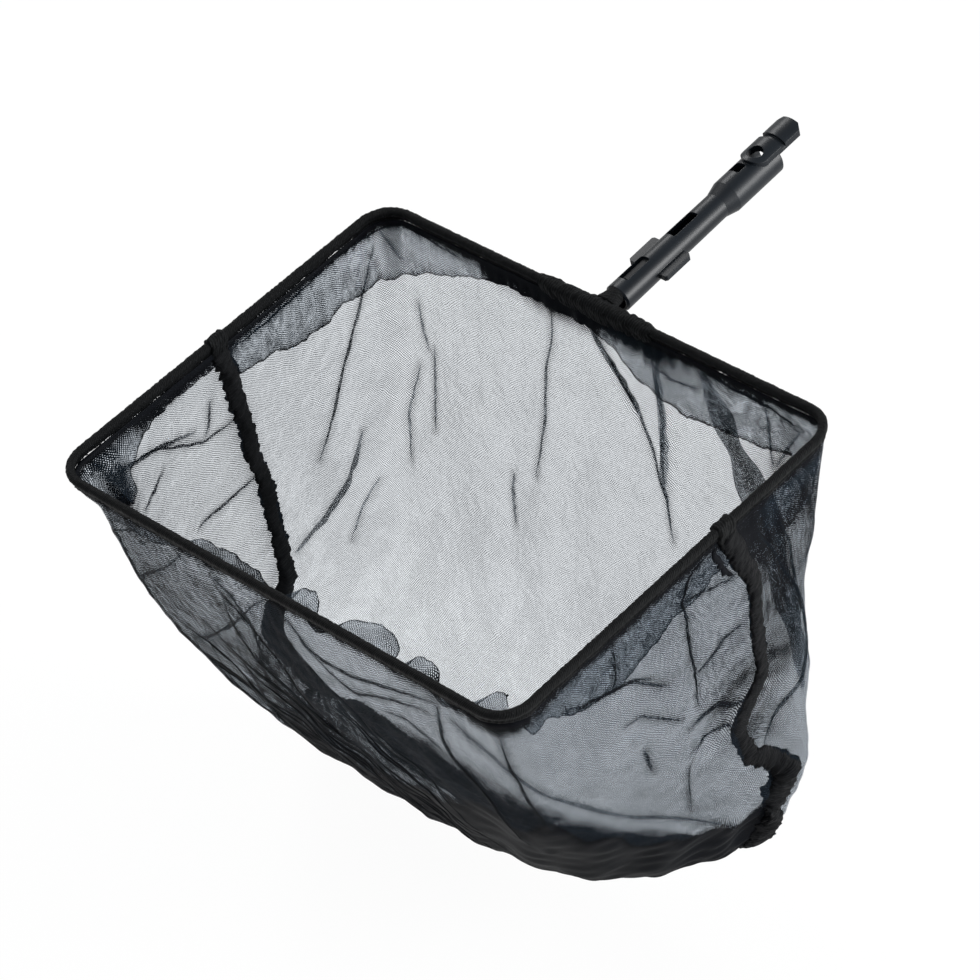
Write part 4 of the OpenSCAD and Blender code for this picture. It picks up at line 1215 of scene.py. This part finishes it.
def turn_down_allowance(scene, side):
    """The hem allowance of a panel: a strip inside the bag of uneven depth, with flaps that stand up inwards.

    It hangs 0.9 mm inside the panel's slack and up to 1.2 mm more by ripples of 6 to 18 mm. A flap leans by
    its angle times exp(-(distance / half width)^4). The knit is closest, and drawn darker, under the hem,
    where the allowance is shallow and pulled tight, and at its raw edge; under the hem this darkening is
    painted shade.
    """
    bag = Bag(scene)
    columns, rows = ALLOWANCE_GRID
    u, w = np.meshgrid(np.linspace(0.008, 0.992, columns), np.linspace(0, 1, rows))
    length = bag.width(side)
    s = u * length
    depth = np.interp(u, *ALLOWANCES[side].T) * MM
    depth = depth * (1 + 0.05 * ripples(s, s * 0, 9, 12 * MM, 40 * MM, 101)) + 0.35 * MM * ripples(
        s, s * 0, 12, 1.5 * MM, 4 * MM, 102)
    k = bag.bottom_share(bag.panel_share(side, u, 0 * u))
    fall = -bag.bottom_line(k)[..., 2] - scene.fish_net_loop.hem_drop
    lean = np.zeros_like(u)
    for middle, wide, degrees in FLAPS if side == "front" else ():
        bell = np.exp(-((u - middle) * length / (wide * MM)) ** 4)
        lean = np.maximum(lean, math.radians(degrees) * bell)
    hang = np.clip(depth * w * np.cos(lean).clip(0, 1) / fall, 0, 1) ** (1 / DEPTH_POWER)
    v = np.arcsin(hang) / (math.pi / 2)
    points, out = panel_surface(scene, side, u, v, pleats=False)
    inward = (0.9 * MM + 0.6 * MM * (1 + ripples(s, w * 8 * MM, 10, 6 * MM, 18 * MM, 103)) * w
              + np.minimum(depth, 15 * MM) * w * np.sin(lean))
    level = out * [1, 1, 0]
    points = points - np.where(lean[..., None] > 0.05, unit(level), out) * inward[..., None]
    # its top edge is caught behind the hem's fold
    points[..., 2] += 0.7 * MM * (1 - smooth_step(depth * w / (1.5 * MM)))
    uv = np.stack([s + 0.4 * MM, depth * w + 0.3 * MM], -1)
    close = 0.06 + (0.06 * smooth_step((u - 0.5) / 0.15) if side == "back" else 0.01)
    shallow = 0.3 if side == "front" else 0.6
    # closeness of the knit, which also paints shade: darkest just under the hem's fold
    bunch = (close + 0.06 * ripples(s, w * 20 * MM, 10, 6 * MM, 20 * MM, 104)
             + 0.6 * np.exp(-(np.maximum(depth * w - 0.8 * MM, 0) / (1.2 * MM)) ** 2)
             + 0.15 * np.exp(-(depth * w / (5 * MM)) ** 2) + 0.5 * np.exp(-(1 - w) / 0.035)
             + shallow * smooth_step((10.5 * MM - depth) / (2 * MM)))
    piece = sheet_piece(scene, f"{side}_allowance", points, uv, np.clip(bunch, 0, 0.9))
    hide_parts(f"{side}_facing")


class FISHNET_OT_allowances(bpy.types.Operator):
    """Makes the hem allowance turned down inside the bag, with its raw edge and its puckers"""

    bl_idname = "fishnet.allowances"
    bl_label = "Hem allowance"

    def execute(self, context):
        turn_down_allowance(context.scene, "front")
        turn_down_allowance(context.scene, "back")
        return {"FINISHED"}


def pleat_rolls(scene, side):
    """The pleats of a panel: narrow rolls of bunched knit along each line, tapered to points.

    A roll is an oval, its line's width across and 0.7 of that high but not over 1.2 mm, times sqrt(sin) along
    it, plus ripples. Its places are read from a grid of the panel's surface, blended between four neighbours.
    """
    columns, rows = PLEAT_GRID
    u, v = np.meshgrid(np.linspace(SEAM_INSET, 1 - SEAM_INSET, columns), np.linspace(0, 1, rows))
    points, out = panel_surface(scene, side, u, v)
    s, a = np.linspace(0, 1, PLEAT_STATIONS), turns(PLEAT_SIDES)
    tubes, dark = [], []
    for i, (line, width, darkness) in enumerate(pleat_lines(side)):
        q = resample(line, PLEAT_STATIONS)
        col = np.clip((q[:, 0] - SEAM_INSET) / (1 - 2 * SEAM_INSET), 0, 0.9999) * (columns - 1)
        row = np.clip(q[:, 1], 0, 0.9999) * (rows - 1)
        c, r = col.astype(int), row.astype(int)
        fc, fr = (col - c)[:, None], (row - r)[:, None]
        at = lambda g: ((g[r, c] * (1 - fc) + g[r, c + 1] * fc) * (1 - fr)
                        + (g[r + 1, c] * (1 - fc) + g[r + 1, c + 1] * fc) * fr)
        centre, normal = at(points), unit(at(out))
        wobble = ripples(s * 60 * MM, s * 0, 6, 5 * MM, 16 * MM, 200 + i)
        across = unit(np.cross(unit(np.gradient(centre, axis=0)), normal))
        centre = centre + across * (0.25 * MM * wobble)[:, None]
        size = width * MM * np.clip(np.sin(math.pi * s), 0.02, 1) ** 0.5 * (1 + 0.25 * wobble)
        tall = np.minimum(0.35 * size, 0.6 * MM)
        sections = carry(centre, across, normal, 0.5 * size[:, None] * np.cos(a)[None],
                         tall[:, None] * np.sin(a)[None])
        tubes.append(tube_mesh(sections, run_along(centre) + i * 7 * MM, 3.2 * width * MM))
        fade = np.clip(np.sin(math.pi * s) * 1.6, 0, 1)
        # painted shade in the crease: each roll's threads are drawn darker by its darkness, fading to its
        # ends
        dark.append(np.repeat(0.88 * darkness ** 1.5 * fade, PLEAT_SIDES))
    make_piece(f"{side}_pleats", join_tubes(tubes), knit(scene), {"bunch": np.concatenate(dark)})


class FISHNET_OT_pleats(bpy.types.Operator):
    """Makes the rolled edges of the pleats in both panels"""

    bl_idname = "fishnet.pleats"
    bl_label = "Pleats"

    def execute(self, context):
        pleat_rolls(context.scene, "front")
        pleat_rolls(context.scene, "back")
        return {"FINISHED"}


def overlocked_seam(scene, name, centre, sideways, normal, node, seed, widths):
    """An overlocked seam: an oval rope with a ridge for each stitch and ragged edges.

    Its width is the seam's, times the widths given along it, plus ripples of 1.3 to 7 mm and of 12 to 40 mm,
    and each stitch stands 0.12 mm |sin| proud, slanted across the rope. The rope twists by ripples.
    """
    b = scene.fish_net_bag
    run, a = run_along(centre), turns(SEAM_SIDES)
    rag = ripples(run[:, None], a[None] * 2.2 * MM, 20, 1.3 * MM, 7 * MM, seed)
    slow = ripples(run, run * 0, 8, 12 * MM, 40 * MM, seed + 1)[:, None]
    stitch = np.abs(np.sin(math.pi * (run[:, None] + 1.2 * MM * np.cos(a)[None]) / OVERLOCK_PITCH))
    grow = 1 + 0.24 * rag + 0.12 * slow
    wide = b.seam_width / 2 * widths[:, None] * grow * np.cos(a)[None] * (0.92 + 0.08 * stitch)
    tall = (b.seam_thickness / 2 * widths[:, None] ** 2 * (1 + 0.2 * rag)
            + 0.12 * MM * stitch) * np.sin(a)[None]
    twist = 0.35 * ripples(run, run * 0, 6, 25 * MM, 70 * MM, seed + 2)[:, None]
    x = wide * np.cos(twist) - tall * np.sin(twist)
    y = wide * np.sin(twist) + tall * np.cos(twist)
    shape = tube_mesh(carry(centre, sideways, normal, x, y), run, 15 * MM)
    piece = make_piece(name, shape, cloth(scene, "Overlock thread"))
    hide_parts(node)


class FISHNET_OT_seams(bpy.types.Operator):
    """Makes the overlocked side seams and bottom seam"""

    bl_idname = "fishnet.seams"
    bl_label = "Overlocked seams"

    def execute(self, context):
        scene = context.scene
        bag = Bag(scene)
        for side, end, seed in (("left", 0.955, 301), ("right", 0.965, 311)):
            v = np.linspace(0.0, end, SEAM_STATIONS)
            t = bag.seam_share(side, v)
            # a straying seam turns sharply, so its run is rounded by a moving mean of 9 places
            centre = moving_mean(bag.point(t, v), 9)
            ahead = unit(np.gradient(centre, axis=0))
            sideways = unit(np.cross(ahead, bag.outward(t, v)))
            # it is full under the hem and from the middle down, the right one most where it turns, and it
            # thins out over its last fifth
            widths = 0.95 + 0.3 * np.exp(-(v / 0.07) ** 2) + 0.2 * smooth_step((v - 0.4) / 0.1)
            if side == "right":
                fuller = smooth_step((v - 0.4) / 0.12) * (1 - 0.6 * smooth_step((v - 0.6) / 0.1))
                widths = widths + 0.35 * fuller
            widths = widths * np.sqrt(np.clip((v[-1] + 0.005 - v) / 0.2, 0.03, 1))
            overlocked_seam(scene, f"{side}_overlock", centre, sideways, unit(np.cross(sideways, ahead)),
                            f"{side}_seam", seed, widths)
        k = np.linspace(0.012, 0.93, SEAM_STATIONS)
        line = bag.bottom_line(k) + LOOP_CENTRE
        ahead = unit(np.gradient(line, axis=0))
        sideways = unit(np.stack([ahead[:, 1], -ahead[:, 0], 0 * k], -1))
        # the bottom seam thins out over a twenty-fifth of it at both ends
        widths = 0.95 * np.sqrt(np.clip(np.minimum(k - 0.01, 0.932 - k) / 0.04, 0.1, 1))
        overlocked_seam(scene, "bottom_overlock", line, sideways, unit(np.cross(sideways, ahead)),
                        "bottom_seam", 321, widths)
        return {"FINISHED"}


class FISHNET_OT_gather(bpy.types.Operator):
    """Makes the slack mesh that lies in folds along the bag's bottom"""

    bl_idname = "fishnet.gather"
    bl_label = "Gathered bottom"

    def execute(self, context):
        scene = context.scene
        bag = Bag(scene)
        columns, rows = GATHER_GRID
        u, w = np.meshgrid(np.linspace(0.14, 0.985, columns), np.linspace(0, 1, rows))
        s = u * ROUGH_WIDTH
        # the slack runs up the inside of the front panel and back down in three folds
        top = 0.2 + 0.03 * ripples(s, s * 0, 8, 30 * MM, 90 * MM, 401)
        rise = np.abs(((w * 3 + 1) % 2) - 1)
        height = (top - 0.015) * (0.25 + 0.75 * rise) * (0.25 + 0.75 * smooth_step((u - 0.2) / 0.35))
        v = 1 - 0.015 - height * np.clip((1 - u) * 9, 0.3, 1)
        t = bag.panel_share("front", u, v)
        inward = 1.2 * MM + 4.2 * MM * w + 0.8 * MM * ripples(s, w * 30 * MM, 14, 6 * MM, 24 * MM, 402)
        points = bag.point(t, v) - bag.outward(t, v) * inward[..., None]
        # the folded slack lies close and is drawn nearly black, partly as painted shade inside its folds
        bunch = np.clip(0.84 + 0.14 * ripples(s * 0.3, w * 30 * MM, 16, 5 * MM, 14 * MM, 403), 0, 0.96)
        piece = sheet_piece(scene, "bottom_gather", points, np.stack([s, w * 0.06], -1), bunch)
        return {"FINISHED"}


OPERATORS = (FISHNET_OT_stage, FISHNET_OT_wire, FISHNET_OT_connector, FISHNET_OT_hems, FISHNET_OT_stitches,
             FISHNET_OT_wraps, FISHNET_OT_panels, FISHNET_OT_pleats, FISHNET_OT_allowances,
             FISHNET_OT_seams, FISHNET_OT_gather)


class FISHNET_PT_panel(bpy.types.Panel):
    """Sizes, colours and the steps that make the net"""

    bl_idname = "FISHNET_PT_panel"
    bl_label = "Fish net"
    bl_space_type = "VIEW_3D"
    bl_region_type = "UI"
    bl_category = "Fish net"

    def draw(self, context):
        for group, kind in GROUPS.items():
            box = self.layout.box()
            for name in kind.__annotations__:
                box.prop(getattr(context.scene, group), name)
        for operator in OPERATORS:
            self.layout.operator(operator.bl_idname)


def register():
    """Registers the add-on's classes and hangs its sizes and colours on the scene."""
    for cls in (*GROUPS.values(), *OPERATORS, FISHNET_PT_panel):
        bpy.utils.register_class(cls)
    for group, kind in GROUPS.items():
        setattr(bpy.types.Scene, group, bpy.props.PointerProperty(type=kind))


def unregister():
    """Takes away what register added."""
    for group in GROUPS:
        delattr(bpy.types.Scene, group)
    for cls in reversed((*GROUPS.values(), *OPERATORS, FISHNET_PT_panel)):
        bpy.utils.unregister_class(cls)


def main():
    register()
    for operator in OPERATORS:
        group, name = operator.bl_idname.split(".")
        getattr(getattr(bpy.ops, group), name)()


if __name__ == "__main__":
    main()
